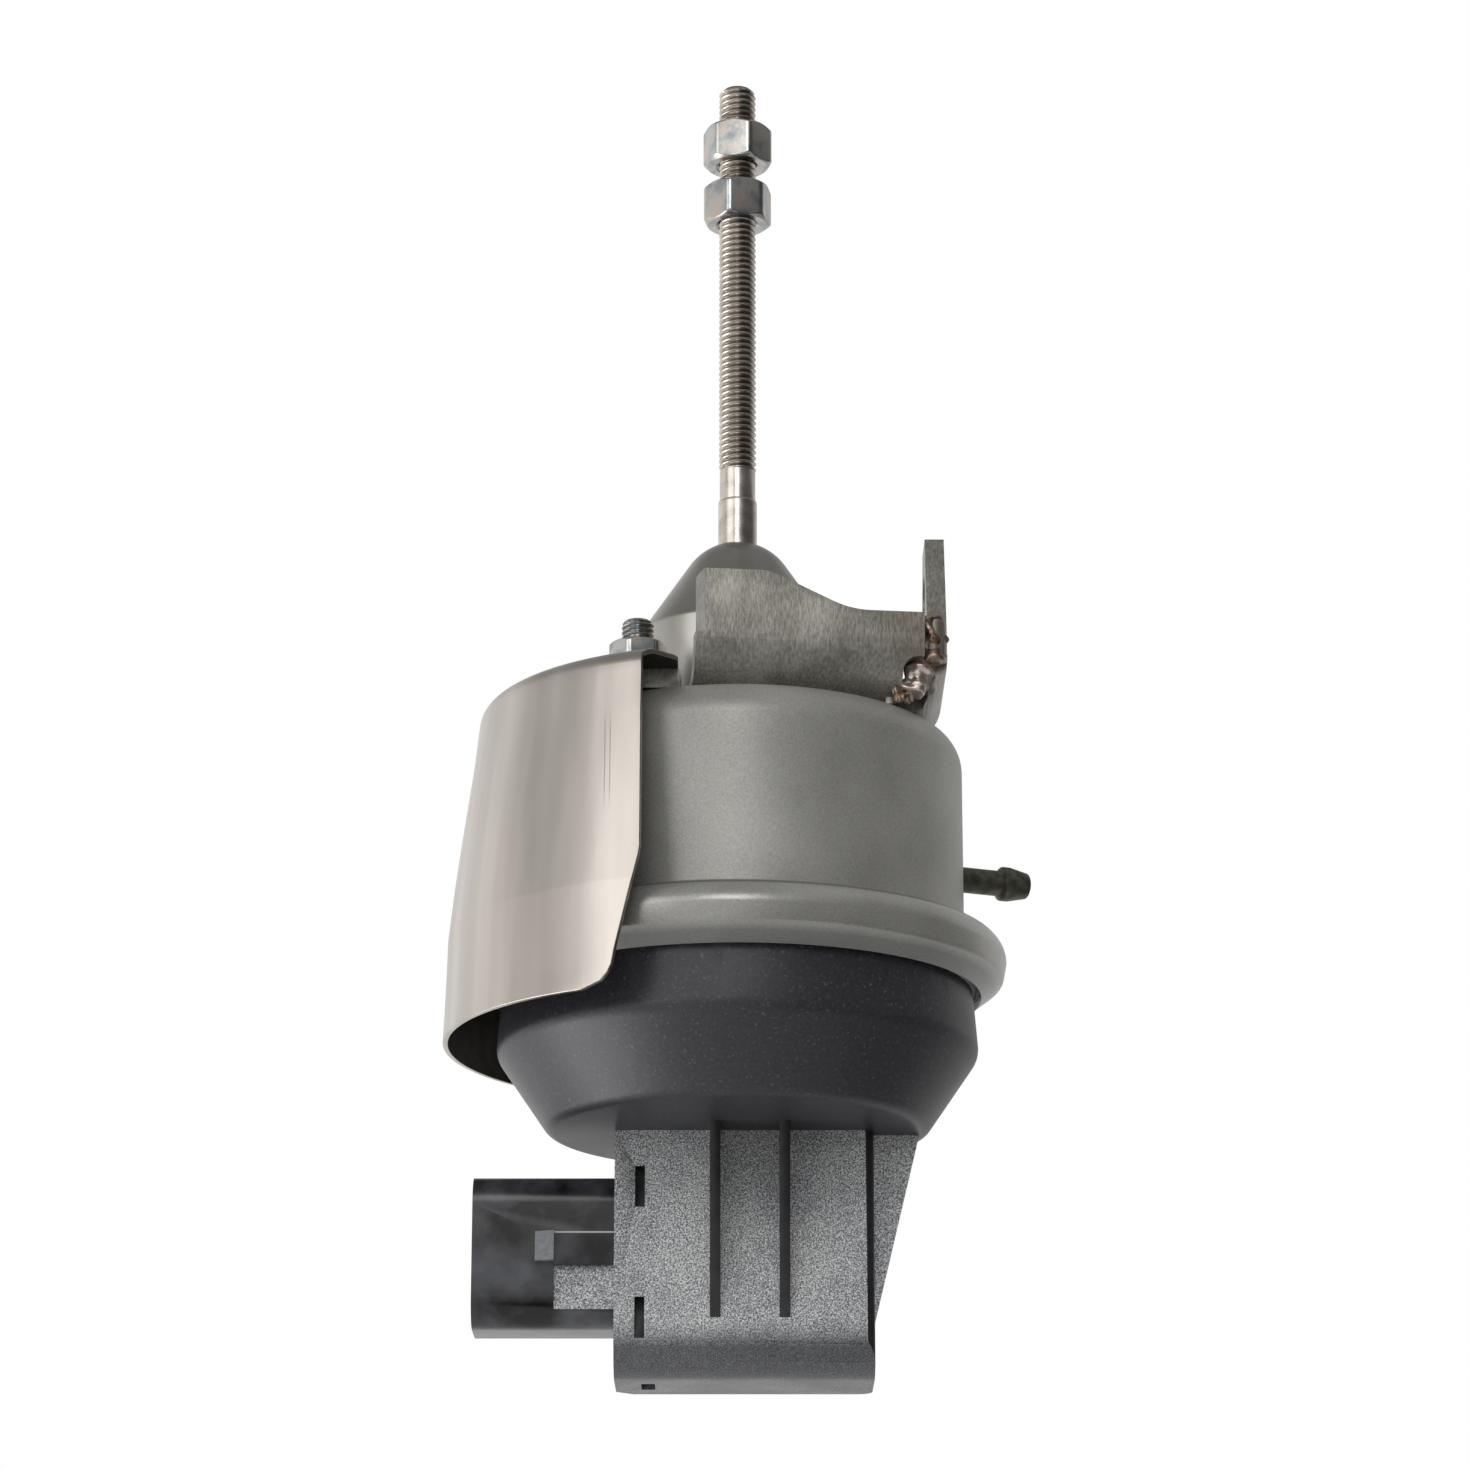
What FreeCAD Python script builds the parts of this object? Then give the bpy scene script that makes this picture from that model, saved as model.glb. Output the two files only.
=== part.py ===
import FreeCAD, Part
import math
import os
import re
import Sketcher

# Wastegate actuator: a vacuum can with a rolling diaphragm, a threaded push rod
# and a position sensor moulded into its plastic bottom. Millimetres.
# The origin is on the rod's axis at the top face of the can, +Z runs along the rod
# to its tip, +X points to the vacuum nipple and -X to the electrical socket.

# Driving dimensions
SIZES = {
    # drawn steel can with its rolled ring
    "can_radius": 35.3,
    "can_wall": 1.2,
    "can_round": 6.0,
    "ring_overhang": 6.5,
    "ring_bend": 4.2,
    "ring_drop": 36.8,
    "ring_edge_step": 0.5,
    "ring_edge_drop": 39.5,
    "ring_edge_round": 1.2,
    "ring_crown_angle": 60.0,
    "ring_root_angle": 135.0,
    "flank_tilt": 37.6,
    "flank_length": 4.4,
    # plastic cup below the ring
    "cup_wall": 2.5,
    "cup_flange_inset": 2.2,
    "cup_flange_drop": 37.3,
    "cup_neck_step": 1.2,
    "cup_bulge": 0.8,
    "cup_shoulder_drop": 51.3,
    "cup_shoulder_round": 3.5,
    "cup_taper": 8.1,
    "cup_floor_round": 2.4,
    "cup_drop": 63.2,
    "crimp_gap": 0.12,
    "stop_inset": 4.0,
    "stop_tube_wall": 2.0,
    "stop_gap": 0.1,
    # sensor box under the cup
    "box_left": 18.8,
    "box_right": 20.9,
    "box_front": 2.8,
    "box_back": 18.0,
    "box_drop": 100.7,
    "box_belly_round": 6.0,
    "box_front_round": 1.5,
    "box_back_round": 2.5,
    "box_back_chamfer": 2.6,
    "rib_left": 3.4,
    "rib_right": 7.2,
    "rib_width": 1.6,
    "rib_reach": 7.6,
    "rib_drop": 92.0,
    "gusset_front": 1.1,
    "gusset_width": 3.0,
    "gusset_reach": 7.1,
    "gusset_drop": 92.5,
    "window_x": 14.9,
    "window_width": 1.5,
    "window_height": 6.3,
    "window_depth": 3.5,
    "window_upper_drop": 71.9,
    "window_lower_drop": 92.0,
    "notch_x": 13.7,
    "notch_width": 2.1,
    "notch_length": 6.0,
    "notch_depth": 1.5,
    "notch_y": 10.0,
    # electrical socket
    "socket_left": 40.6,
    "socket_top_drop": 69.5,
    "socket_bottom_drop": 93.0,
    "socket_front": 0.8,
    "socket_back": 15.8,
    "socket_corner": 4.5,
    "socket_wall": 2.0,
    "socket_depth": 16.0,
    "ramp_left": 30.9,
    "ramp_width": 2.9,
    "ramp_proud": 1.7,
    "ramp_top_drop": 78.6,
    "ramp_height": 4.5,
    "rail_proud": 0.8,
    "rail_height": 5.1,
    "pad_sunk": 0.4,
    "pad_height": 7.0,
    # terminals, circuit board and lid
    "pin_pitch": 5.0,
    "pin_width": 2.2,
    "pin_thick": 0.8,
    "pin_reach": 11.0,
    "pin_tail_x": 11.0,
    "pin_fit": 0.03,
    "board_left": 14.0,
    "board_right": 15.0,
    "board_top_drop": 67.0,
    "board_bottom_drop": 96.5,
    "board_y": 13.6,
    "board_thick": 1.6,
    "board_fit": 0.1,
    "chip_width": 4.0,
    "chip_height": 3.2,
    "chip_thick": 1.1,
    "chip_drop": 84.0,
    "lid_thick": 2.0,
    "lid_rim": 1.5,
    "lid_fit": 0.08,
    # magnet carrier that follows the piston
    "carrier_y": 6.6,
    "carrier_radius": 5.1,
    "carrier_fit": 0.08,
    "carrier_top_drop": 62.0,
    "carrier_length": 18.0,
    "carrier_stem_radius": 2.2,
    "carrier_gap": 0.1,
    "magnet_radius": 3.4,
    "magnet_length": 4.0,
    "magnet_drop": 68.0,
    "bore_drop": 96.7,
    "return_wire": 0.7,
    "return_radius": 2.6,
    "return_turns": 7,
    # rod and the pieces clamped on its foot
    "shank_radius": 3.1,
    "shank_top": 39.8,
    "relief_radius": 2.85,
    "relief_top": 44.7,
    "thread_radius": 2.95,
    "root_radius": 2.5,
    "root_width": 0.6,
    "rod_tip": 111.6,
    "rod_chamfer": 0.8,
    "collar_radius": 6.0,
    "collar_height": 2.0,
    "piston_drop": 43.4,
    "roll_width": 6.1,
    "piston_wall": 1.2,
    "piston_bevel": 1.6,
    "piston_height": 17.6,
    "rubber_thick": 0.9,
    "rubber_gap": 0.2,
    "rubber_fit": 0.1,
    "bead_bevel": 0.8,
    "roll_drop": 27.0,
    "bead_height": 2.7,
    "bead_width": 3.2,
    "backing_inset": 5.2,
    "backing_thick": 1.2,
    "foot_radius": 2.5,
    "foot_nut_flats": 8.0,
    "foot_nut_height": 4.0,
    "foot_length": 8.0,
    "foot_fit": 0.05,
    "spring_inset": 7.2,
    "spring_wire": 3.0,
    "spring_turns": 5,
    "spring_sides": 18,
    "coil_gap": 0.05,
    "seat_margin": 3.5,
    "seat_thick": 1.0,
    "seat_hole": 9.6,
    "seat_collar_inset": 2.0,
    "seat_collar_height": 4.0,
    # bush, seal and dome
    "bush_radius": 7.0,
    "bush_drop": 12.0,
    "bush_head_radius": 9.5,
    "bush_head_height": 6.0,
    "bush_fit": 0.05,
    "seal_radius": 6.4,
    "seal_height": 3.4,
    "seal_fit": 0.03,
    "seal_lip": 0.8,
    "dome_wall": 1.0,
    "dome_top": 32.6,
    "dome_nose": 9.4,
    "dome_tilt": 34.0,
    "dome_fold_height": 16.9,
    "dome_fold_round": 1.5,
    "dome_fit": 0.25,
    # studs with their washers and nuts
    "stud_x": 15.4,
    "stud_y": 20.0,
    "stud_radius": 2.5,
    "stud_length": 13.2,
    "stud_chamfer": 0.6,
    "stud_fit": 0.25,
    "washer_radius": 5.0,
    "washer_thick": 1.0,
    "stud_nut_flats": 8.0,
    "stud_nut_height": 4.7,
    "nut_fit": 0.05,
    "stud_nut_turn": 12.0,
    # adjusting nut and lock nut on the rod
    "rod_nut_flats": 10.0,
    "rod_nut_height": 6.6,
    "nut_bevel": 0.55,
    "adjusting_nut_z": 87.7,
    "adjusting_nut_turn": 15.0,
    "lock_nut_z": 98.0,
    "lock_nut_turn": -8.7,
    # folded bracket
    "sheet_thick": 3.0,
    "wall_left": 9.8,
    "wall_length": 35.4,
    "wall_front": 27.5,
    "wall_bend": 9.0,
    "wall_turn": 7.0,
    "wall_top": 19.2,
    "wall_low_top": 13.4,
    "wall_step_start": 1.6,
    "wall_step_end": 14.2,
    "wall_corner": 1.8,
    "wall_end_slant": 1.5,
    "wall_step_round": 7.0,
    "wall_step_dip": 14.0,
    "wall_relief": 3.2,
    "corner_notch_top": 6.4,
    "corner_notch_round": 2.2,
    "fold_overlap": 3.0,
    "tab_left": 20.0,
    "tab_front": 28.3,
    "slot_inset": 1.2,
    "plate_hole_gap": 0.3,
    "plate_rim": 4.0,
    "plate_margin": 6.5,
    "plate_corner": 4.0,
    "ear_x": 32.3,
    "ear_bend": 6.5,
    "ear_near": 20.0,
    "ear_far": 2.0,
    "ear_top": 28.5,
    "ear_top_near": 14.5,
    "ear_top_far": 6.0,
    "ear_shoulder": 12.5,
    "ear_hole_radius": 3.3,
    "ear_hole_y": 9.6,
    "ear_hole_z": 20.5,
    "weld_radius": 1.9,
    "weld_bottom": 6.5,
    "weld_top": 13.6,
    "weld_inset": 1.0,
    # heat shield
    "shield_thick": 0.85,
    "shield_hole": 20.2,
    "shield_round": 3.0,
    "shield_stand_off": 5.6,
    "shield_clearance": 3.2,
    "shield_waist_drop": 33.5,
    "shield_flare": 0.6,
    "shield_hem_drop": 49.7,
    "shield_sweep": 133.0,
    "shield_start": 118.0,
    "shield_edge_x": 14.4,
    "shield_slant_drop": 29.0,
    "shield_slant": 3.8,
    "shield_corner": 5.0,
    "strap_radius": 31.0,
    "strap_sweep": 76.0,
    "strap_overlap": 5.0,
    "tongue_outer_x": 13.3,
    "tongue_outer_y": 38.0,
    "tongue_tip_x": 9.0,
    "tongue_tip_y": 32.4,
    "tongue_root_y": 22.0,
    "tongue_relief": 6.0,
    # vacuum nipple
    "nipple_turn": 22.0,
    "nipple_drop": 19.0,
    "nipple_radius": 2.05,
    "nipple_bore": 1.2,
    "nipple_reach": 14.7,
    "nipple_barb_radius": 2.75,
    "nipple_barb_length": 5.0,
    "nipple_barb_step": 0.5,
    "nipple_barb_lip": 3.2,
    # shared allowances
    "seat_fit": 0.02,
    "cut_margin": 1.0,
}

# Sizes that follow from the driving ones, each as a sum of them
FOLLOWING = {
    "ring_radius": "can_radius + ring_overhang",
    "ring_edge_radius": "ring_radius - ring_edge_step",
    "cup_flange_radius": "ring_radius - cup_flange_inset",
    "cup_neck_radius": "can_radius + cup_neck_step",
    "cup_radius": "cup_neck_radius + cup_bulge",
    "cup_floor_radius": "cup_radius - cup_taper",
    "piston_radius": "can_radius - roll_width",
    "backing_radius": "piston_radius - backing_inset",
    "stop_tube_radius": "backing_radius - stop_inset",
    "spring_radius": "piston_radius - spring_inset",
    "seat_radius": "spring_radius + seat_margin",
    "seat_collar_radius": "spring_radius - seat_collar_inset",
    "nipple_tip": "can_radius + nipple_reach",
    "shield_top_radius": "can_radius + shield_stand_off",
    "shield_waist_radius": "ring_radius + shield_clearance",
    "shield_hem_radius": "shield_waist_radius + shield_flare",
}

doc = FreeCAD.newDocument("wastegate_actuator")


def make_sheet():
    """The spreadsheet that holds every driving dimension under its own name."""
    sheet = doc.addObject("Spreadsheet::Sheet", "size")
    for row, (name, number) in enumerate(SIZES.items(), start=1):
        sheet.set("A%d" % row, name)
        sheet.set("B%d" % row, str(number))
        sheet.setAlias("B%d" % row, name)
    doc.recompute()
    return sheet


sheet = make_sheet()


def cell(word):
    """What stands for one word of a sum: a size's cell, a following size's own sum, or the word."""
    if word[0] in FOLLOWING:
        return "(%s)" % linked(FOLLOWING[word[0]])
    return "size." + word[0] if word[0] in SIZES else word[0]


def linked(text):
    """The same sum, with each size's name pointing at its cell."""
    return re.sub(r"[a-z]\w*", cell, text)


def value(text):
    """What a sum of named sizes comes to now."""
    return float(sheet.evalExpression(linked(text)))


def bind(thing, place, text):
    thing.setExpression(place, linked(text))


# Heights and radii that several pieces share, as sums of the sizes above
RING_CENTRE = "(ring_radius - ring_bend)"
CREASE_DROP = "(ring_drop - sqrt(ring_bend^2 - (%s - can_radius)^2))" % RING_CENTRE
CAN_INNER = "(can_radius - can_wall)"
FLANK_CORNER = "(can_wall * (1 - sin(flank_tilt)) / cos(flank_tilt) - ring_edge_drop)"
LIP_RADIUS = "(ring_edge_radius - flank_length * cos(flank_tilt))"
LIP_DROP = "(ring_edge_drop + flank_length * sin(flank_tilt))"
CUP_FLOOR_DROP = "(cup_drop - cup_wall)"
PISTON_UNDER = "(piston_drop + piston_wall)"
RUBBER_UNDER = "(piston_drop + piston_wall + rubber_thick)"
BACKING_UNDER = "(%s + backing_thick)" % RUBBER_UNDER
SEAT_UNDER = "(can_wall + seat_thick)"
SOCKET_MID_Y = "((socket_back - socket_front) / 2)"
SOCKET_MID_DROP = "((socket_top_drop + socket_bottom_drop) / 2)"
SHIELD_TOP = "(sheet_thick + shield_thick)"
NUT_SEAT = "(%s + washer_thick)" % SHIELD_TOP
DOME_CENTRE = "(dome_top - dome_nose)"
DOME_SKIRT = "(dome_nose / cos(dome_tilt) + (%s - dome_fold_height) * tan(dome_tilt))" % DOME_CENTRE
PLATE_HOLE = "(%s + plate_hole_gap)" % DOME_SKIRT
BORE_RADIUS = "(carrier_radius + carrier_fit)"
MAGNET_UNDER = "(magnet_drop + magnet_length)"
NUT_TOP = "(lock_nut_z + rod_nut_height)"
# How far in from a corner, in radii, a quarter round's middle lies
HALFWAY = "(1 - sqrt(1 / 2))"


TOUCH = 1e-6


def body(name):
    """A new body; its label is the name of the piece."""
    made = doc.addObject("PartDesign::Body", name)
    made.Label = name
    return made


def plane_of(owner, role):
    return [feature for feature in owner.Origin.OriginFeatures if feature.Role == role][0]


def new_sketch(owner, name, plane, lift="0", turn="0", aside="0"):
    """A sketch on one of the body's own planes: turned about the rod's axis, then lifted off
    its plane and moved aside within it."""
    sketch = owner.newObject("Sketcher::SketchObject", owner.Name + "_" + name)
    sketch.AttachmentSupport = [(plane_of(owner, plane), "")]
    sketch.MapMode = "FlatFace"
    if turn != "0":
        upright = FreeCAD.Rotation(FreeCAD.Vector(0, 1, 0), value(turn))
        sketch.AttachmentOffset = FreeCAD.Placement(FreeCAD.Vector(), upright)
        bind(sketch, "AttachmentOffset.Rotation.Angle", turn)
    bind(sketch, "AttachmentOffset.Base.x", "(%s) * cos(%s) + (%s) * sin(%s)" % (aside, turn, lift, turn))
    bind(sketch, "AttachmentOffset.Base.z", "(%s) * cos(%s) - (%s) * sin(%s)" % (lift, turn, aside, turn))
    return sketch


def pin_point(sketch, geometry, end, x, y):
    """Ties one point of the sketch to its named place."""
    for kind, text in (("DistanceX", x), ("DistanceY", y)):
        tie = sketch.addConstraint(Sketcher.Constraint(kind, -1, 1, geometry, end, value(text)))
        bind(sketch, "Constraints[%d]" % tie, text)


def add_sides(sketch, places):
    """Draws the sides of a closed outline, and an arc in each rounded corner."""
    count = len(places)
    for index, place in enumerate(places):
        start, end = place["out"], places[(index + 1) % count]["in"]
        if place["via"]:
            via = FreeCAD.Vector(*[value(text) for text in place["via"]])
            place["side"] = sketch.addGeometry(Part.Arc(start, via, end))
        else:
            place["side"] = sketch.addGeometry(Part.LineSegment(start, end))
    for place in places:
        if place["round"]:
            middle = place["centre"] + (place["at"] - place["centre"]).normalize() * value(place["round"])
            place["arc"] = sketch.addGeometry(Part.Arc(place["in"], middle, place["out"]))
            place["corner"] = sketch.addGeometry(Part.Point(place["at"]), True)


def end_at(sketch, geometry, point):
    """Which end of a side or an arc lies on the point: 1 for its start, 2 for its end."""
    return 1 if sketch.getPoint(geometry, 1).distanceToPoint(point) < TOUCH else 2


def tie_places(sketch, places):
    """Joins the sides to each other and ties every corner to its named place."""
    count = len(places)
    for index, place in enumerate(places):
        before, after = places[index - 1]["side"], place["side"]
        before_end = end_at(sketch, before, place["in"])
        after_end = end_at(sketch, after, place["out"])
        if place["round"]:
            arc, corner = place["arc"], place["corner"]
            for side, end, at in ((before, before_end, place["in"]), (after, after_end, place["out"])):
                sketch.addConstraint(Sketcher.Constraint("Tangent", side, end, arc, end_at(sketch, arc, at)))
                sketch.addConstraint(Sketcher.Constraint("PointOnObject", corner, 1, side))
            radius = sketch.addConstraint(Sketcher.Constraint("Radius", arc, value(place["round"])))
            bind(sketch, "Constraints[%d]" % radius, place["round"])
            pin_point(sketch, corner, 1, place["x"], place["y"])
        else:
            sketch.addConstraint(Sketcher.Constraint("Coincident", before, before_end, after, after_end))
            pin_point(sketch, after, after_end, place["x"], place["y"])
        if place["via"]:
            at = FreeCAD.Vector(*[value(text) for text in place["via"]])
            via = sketch.addGeometry(Part.Point(at), True)
            sketch.addConstraint(Sketcher.Constraint("PointOnObject", via, 1, after))
            pin_point(sketch, via, 1, *place["via"])


def outline(sketch, corners):
    """A closed outline through named corners. A corner is (x, y), or (x, y, radius) for a
    rounded one, and ("via", x, y) between two corners makes the side between them an arc."""
    places = []
    for corner in corners:
        if corner[0] == "via":
            places[-1]["via"] = corner[1:]
        else:
            place = {"x": corner[0], "y": corner[1], "via": None}
            place["round"] = corner[2] if len(corner) > 2 else None
            place["at"] = FreeCAD.Vector(value(corner[0]), value(corner[1]), 0)
            places.append(place)
    for index, place in enumerate(places):
        place["in"] = place["out"] = place["at"]
        if place["round"]:
            back = (places[index - 1]["at"] - place["at"]).normalize()
            ahead = (places[(index + 1) % len(places)]["at"] - place["at"]).normalize()
            half_angle = back.getAngle(ahead) / 2
            reach = value(place["round"]) / math.tan(half_angle)
            place["in"] = place["at"] + back * reach
            place["out"] = place["at"] + ahead * reach
            inward = (back + ahead).normalize()
            place["centre"] = place["at"] + inward * (value(place["round"]) / math.sin(half_angle))
    add_sides(sketch, places)
    tie_places(sketch, places)
    return sketch


def circle(sketch, x, y, radius):
    """A circle tied to its named centre and radius."""
    centre = FreeCAD.Vector(value(x), value(y), 0)
    ring = sketch.addGeometry(Part.Circle(centre, FreeCAD.Vector(0, 0, 1), value(radius)))
    pin_point(sketch, ring, 3, x, y)
    tie = sketch.addConstraint(Sketcher.Constraint("Radius", ring, value(radius)))
    bind(sketch, "Constraints[%d]" % tie, radius)


def draw(sketch, shapes):
    """Draws one shape, or several: a list of corners, or a (x, y, radius) circle."""
    for shape in shapes:
        if isinstance(shape, tuple):
            circle(sketch, *shape)
        else:
            outline(sketch, shape)
    doc.recompute()


def finish(owner, feature, before):
    """Works a feature out and stops if it failed or left the piece as it was."""
    doc.recompute()
    changed = abs(owner.Shape.Volume - before) > TOUCH
    if "Invalid" in feature.State or "Error" in feature.State or not changed:
        raise RuntimeError("%s did not change its piece" % feature.Name)


def volume_of(owner):
    return owner.Shape.Volume if owner.Tip else 0


def push(kind, owner, name, plane, shapes, start, end, turn):
    """Pushes shapes drawn across one axis from a start to an end along that axis."""
    before = volume_of(owner)
    lift = "-(%s)" % end if plane == "XZ_Plane" else start
    sketch = new_sketch(owner, name + "_outline", plane, lift, turn)
    draw(sketch, shapes)
    feature = owner.newObject("PartDesign::" + kind, owner.Name + "_" + name)
    feature.Profile = sketch
    feature.Reversed = kind == "Pocket"
    bind(feature, "Length", "(%s) - (%s)" % (end, start))
    finish(owner, feature, before)
    return feature


def pad(owner, name, plane, shapes, start, end, turn="0"):
    return push("Pad", owner, name, plane, shapes, start, end, turn)


def pocket(owner, name, plane, shapes, start, end, turn="0"):
    return push("Pocket", owner, name, plane, shapes, start, end, turn)


def turn_about(kind, owner, name, shapes, plane="XZ_Plane", axis="V_Axis", sweep="360", start="0",
               lift="0", aside="0"):
    """Turns shapes about an axis of their sketch, the rod's own axis unless another is given."""
    before = volume_of(owner)
    sketch = new_sketch(owner, name + "_outline", plane, lift, start, aside)
    draw(sketch, shapes)
    feature = owner.newObject("PartDesign::" + kind, owner.Name + "_" + name)
    feature.Profile = sketch
    feature.ReferenceAxis = (sketch, [axis])
    bind(feature, "Angle", sweep)
    finish(owner, feature, before)
    return feature


def revolve(owner, name, shapes, **places):
    return turn_about("Revolution", owner, name, shapes, **places)


def groove(owner, name, shapes, **places):
    return turn_about("Groove", owner, name, shapes, **places)


def place(thing, x="0", y="0", z="0", turn="0"):
    """Sets a piece in its place, turned about its own upright axis."""
    upright = FreeCAD.Rotation(FreeCAD.Vector(0, 0, 1), value(turn))
    thing.Placement = FreeCAD.Placement(FreeCAD.Vector(value(x), value(y), value(z)), upright)
    for axis, text in (("x", x), ("y", y), ("z", z)):
        bind(thing, "Placement.Base." + axis, text)
    if turn != "0":
        bind(thing, "Placement.Rotation.Angle", turn)


def box_outline(left, right, low, high):
    return [(left, low), (right, low), (right, high), (left, high)]


def ring_piece(name, inner, outer, low, high):
    """A plain ring about its own axis."""
    ring = body(name)
    revolve(ring, "ring", [box_outline(inner, outer, low, high)])
    return ring


def hex_nut(name, flats, height, bore):
    """A hexagon nut, bevelled at both faces, standing on its own origin."""
    nut = body(name)
    tip = "%s / sqrt(3)" % flats
    corners = [(tip, "0"), ("%s / 2" % tip, "%s / 2" % flats), ("-%s / 2" % tip, "%s / 2" % flats),
               ("-" + tip, "0"), ("-%s / 2" % tip, "-%s / 2" % flats), ("%s / 2" % tip, "-%s / 2" % flats)]
    pad(nut, "blank", "XY_Plane", [corners], "0", height)
    pocket(nut, "bore", "XY_Plane", [("0", "0", bore)], "0", height)
    reach = "%s + cut_margin" % tip
    bevel_run = "(%s + cut_margin - %s / 2)" % (tip, flats)
    drop = "nut_bevel * %s / (%s - %s / 2)" % (bevel_run, tip, flats)
    groove(nut, "bevels", [
        [("%s / 2" % flats, "0"), (reach, drop), (reach, "-cut_margin"), ("%s / 2" % flats, "-cut_margin")],
        [("%s / 2" % flats, height), ("%s / 2" % flats, height + " + cut_margin"),
         (reach, height + " + cut_margin"), (reach, "%s - %s" % (height, drop))]])
    return nut


def coil(name, radius, wire, turns, low, high, y="0"):
    """A spring's wire wound from one seat to the other, in short straight runs of square wire."""
    rise = value("(%s) - (%s) - %s - 2 * coil_gap" % (high, low, wire))
    first = value("(%s) + coil_gap + %s / 2" % (low, wire))
    half, mean = value(wire) / 2, value(radius)
    runs = round(value(turns) * value("spring_sides"))
    rings = []
    for run in range(runs + 1):
        angle = math.radians(360 * value(turns) * run / runs)
        rings.append([FreeCAD.Vector((mean + out) * math.cos(angle), (mean + out) * math.sin(angle),
                                     first + rise * run / runs + up)
                      for out, up in ((-half, -half), (half, -half), (half, half), (-half, half))])
    faces = [face_of(rings[0]), face_of(rings[-1])]
    for before, after in zip(rings, rings[1:]):
        for side in range(4):
            beside = (side + 1) % 4
            faces.append(face_of([before[side], before[beside], after[beside]]))
            faces.append(face_of([before[side], after[beside], after[side]]))
    wound = doc.addObject("Part::Feature", name)
    wound.Label = name
    wound.Shape = Part.Solid(Part.Shell(faces))
    place(wound, y=y)
    return wound


def face_of(points):
    return Part.Face(Part.makePolygon(points + points[:1]))


# The can, its ring and what is fixed to it

def ring_point(radius, angle):
    """A point on the rolled ring's bend."""
    return ("%s + %s * cos(%s)" % (RING_CENTRE, radius, angle),
            "%s * sin(%s) - ring_drop" % (radius, angle))


def make_canister():
    """Drawn can: flat top, straight wall, then the sheet bulges out and is rolled in under the
    cup's flange, ending in the lip that shows round the cup."""
    can = body("canister")
    inner_bend = "(ring_bend - can_wall)"
    revolve(can, "drawn", [[
        ("bush_radius + seat_fit", "0"),
        ("can_radius", "0", "can_round"),
        ("can_radius", "-" + CREASE_DROP),
        ("via",) + ring_point("ring_bend", "ring_crown_angle"),
        ("ring_radius", "-ring_drop"),
        ("ring_edge_radius", "-ring_edge_drop", "ring_edge_round"),
        (LIP_RADIUS, "-" + LIP_DROP),
        (LIP_RADIUS + " - can_wall * sin(flank_tilt)", "can_wall * cos(flank_tilt) - " + LIP_DROP),
        ("ring_edge_radius - can_wall", FLANK_CORNER),
        ("ring_radius - can_wall", "-ring_drop"),
        ring_point(inner_bend, "ring_crown_angle"),
        ring_point(inner_bend, "ring_root_angle"),
        (CAN_INNER, "-%s - can_wall" % CREASE_DROP),
        (CAN_INNER, "-can_round"),
        ("can_radius - can_round", "-can_wall"),
        ("bush_radius + seat_fit", "-can_wall")]])
    pocket(can, "nipple_hole", "YZ_Plane", [("0", "-nipple_drop", "nipple_radius + seat_fit")],
           "can_radius / 2", "can_radius + cut_margin", turn="nipple_turn")
    return can


def make_nipple():
    """Vacuum nipple, brazed into the can's wall: a tube with one barb at its mouth."""
    nipple = body("vacuum_nipple")
    revolve(nipple, "turned", [[
        (CAN_INNER, "nipple_bore"),
        (CAN_INNER, "nipple_radius"),
        ("nipple_tip - nipple_barb_length", "nipple_radius"),
        ("nipple_tip - nipple_barb_length + nipple_barb_step", "nipple_barb_radius"),
        ("nipple_tip - nipple_barb_lip", "nipple_barb_radius"),
        ("nipple_tip", "nipple_radius"),
        ("nipple_tip", "nipple_bore")]], plane="XY_Plane", axis="H_Axis")
    place(nipple, z="-nipple_drop", turn="nipple_turn")
    return nipple


def make_bush():
    """Guide bush pressed into the can's top, with a recess for the rod seal."""
    bush = body("guide_bush")
    revolve(bush, "turned", [[
        ("shank_radius + bush_fit", "-bush_drop"),
        ("bush_radius", "-bush_drop"),
        ("bush_radius", "0"),
        ("bush_head_radius", "0"),
        ("bush_head_radius", "bush_head_height"),
        ("seal_radius", "bush_head_height"),
        ("seal_radius", "bush_head_height - seal_height"),
        ("shank_radius + bush_fit", "bush_head_height - seal_height")]])
    return bush


def make_seal():
    """Lip seal round the rod: a ring with a V groove that spreads its lips."""
    seal = body("rod_seal")
    inner = "shank_radius + seal_fit"
    revolve(seal, "ring", [[
        (inner, "bush_head_height - seal_height"),
        ("seal_radius - seat_fit", "bush_head_height - seal_height"),
        ("seal_radius - seat_fit", "bush_head_height"),
        ("seal_radius - seal_lip", "bush_head_height"),
        ("(seal_radius + shank_radius) / 2", "bush_head_height - seal_height / 2"),
        ("shank_radius + seal_lip", "bush_head_height"),
        (inner, "bush_head_height")]])
    return seal


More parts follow.
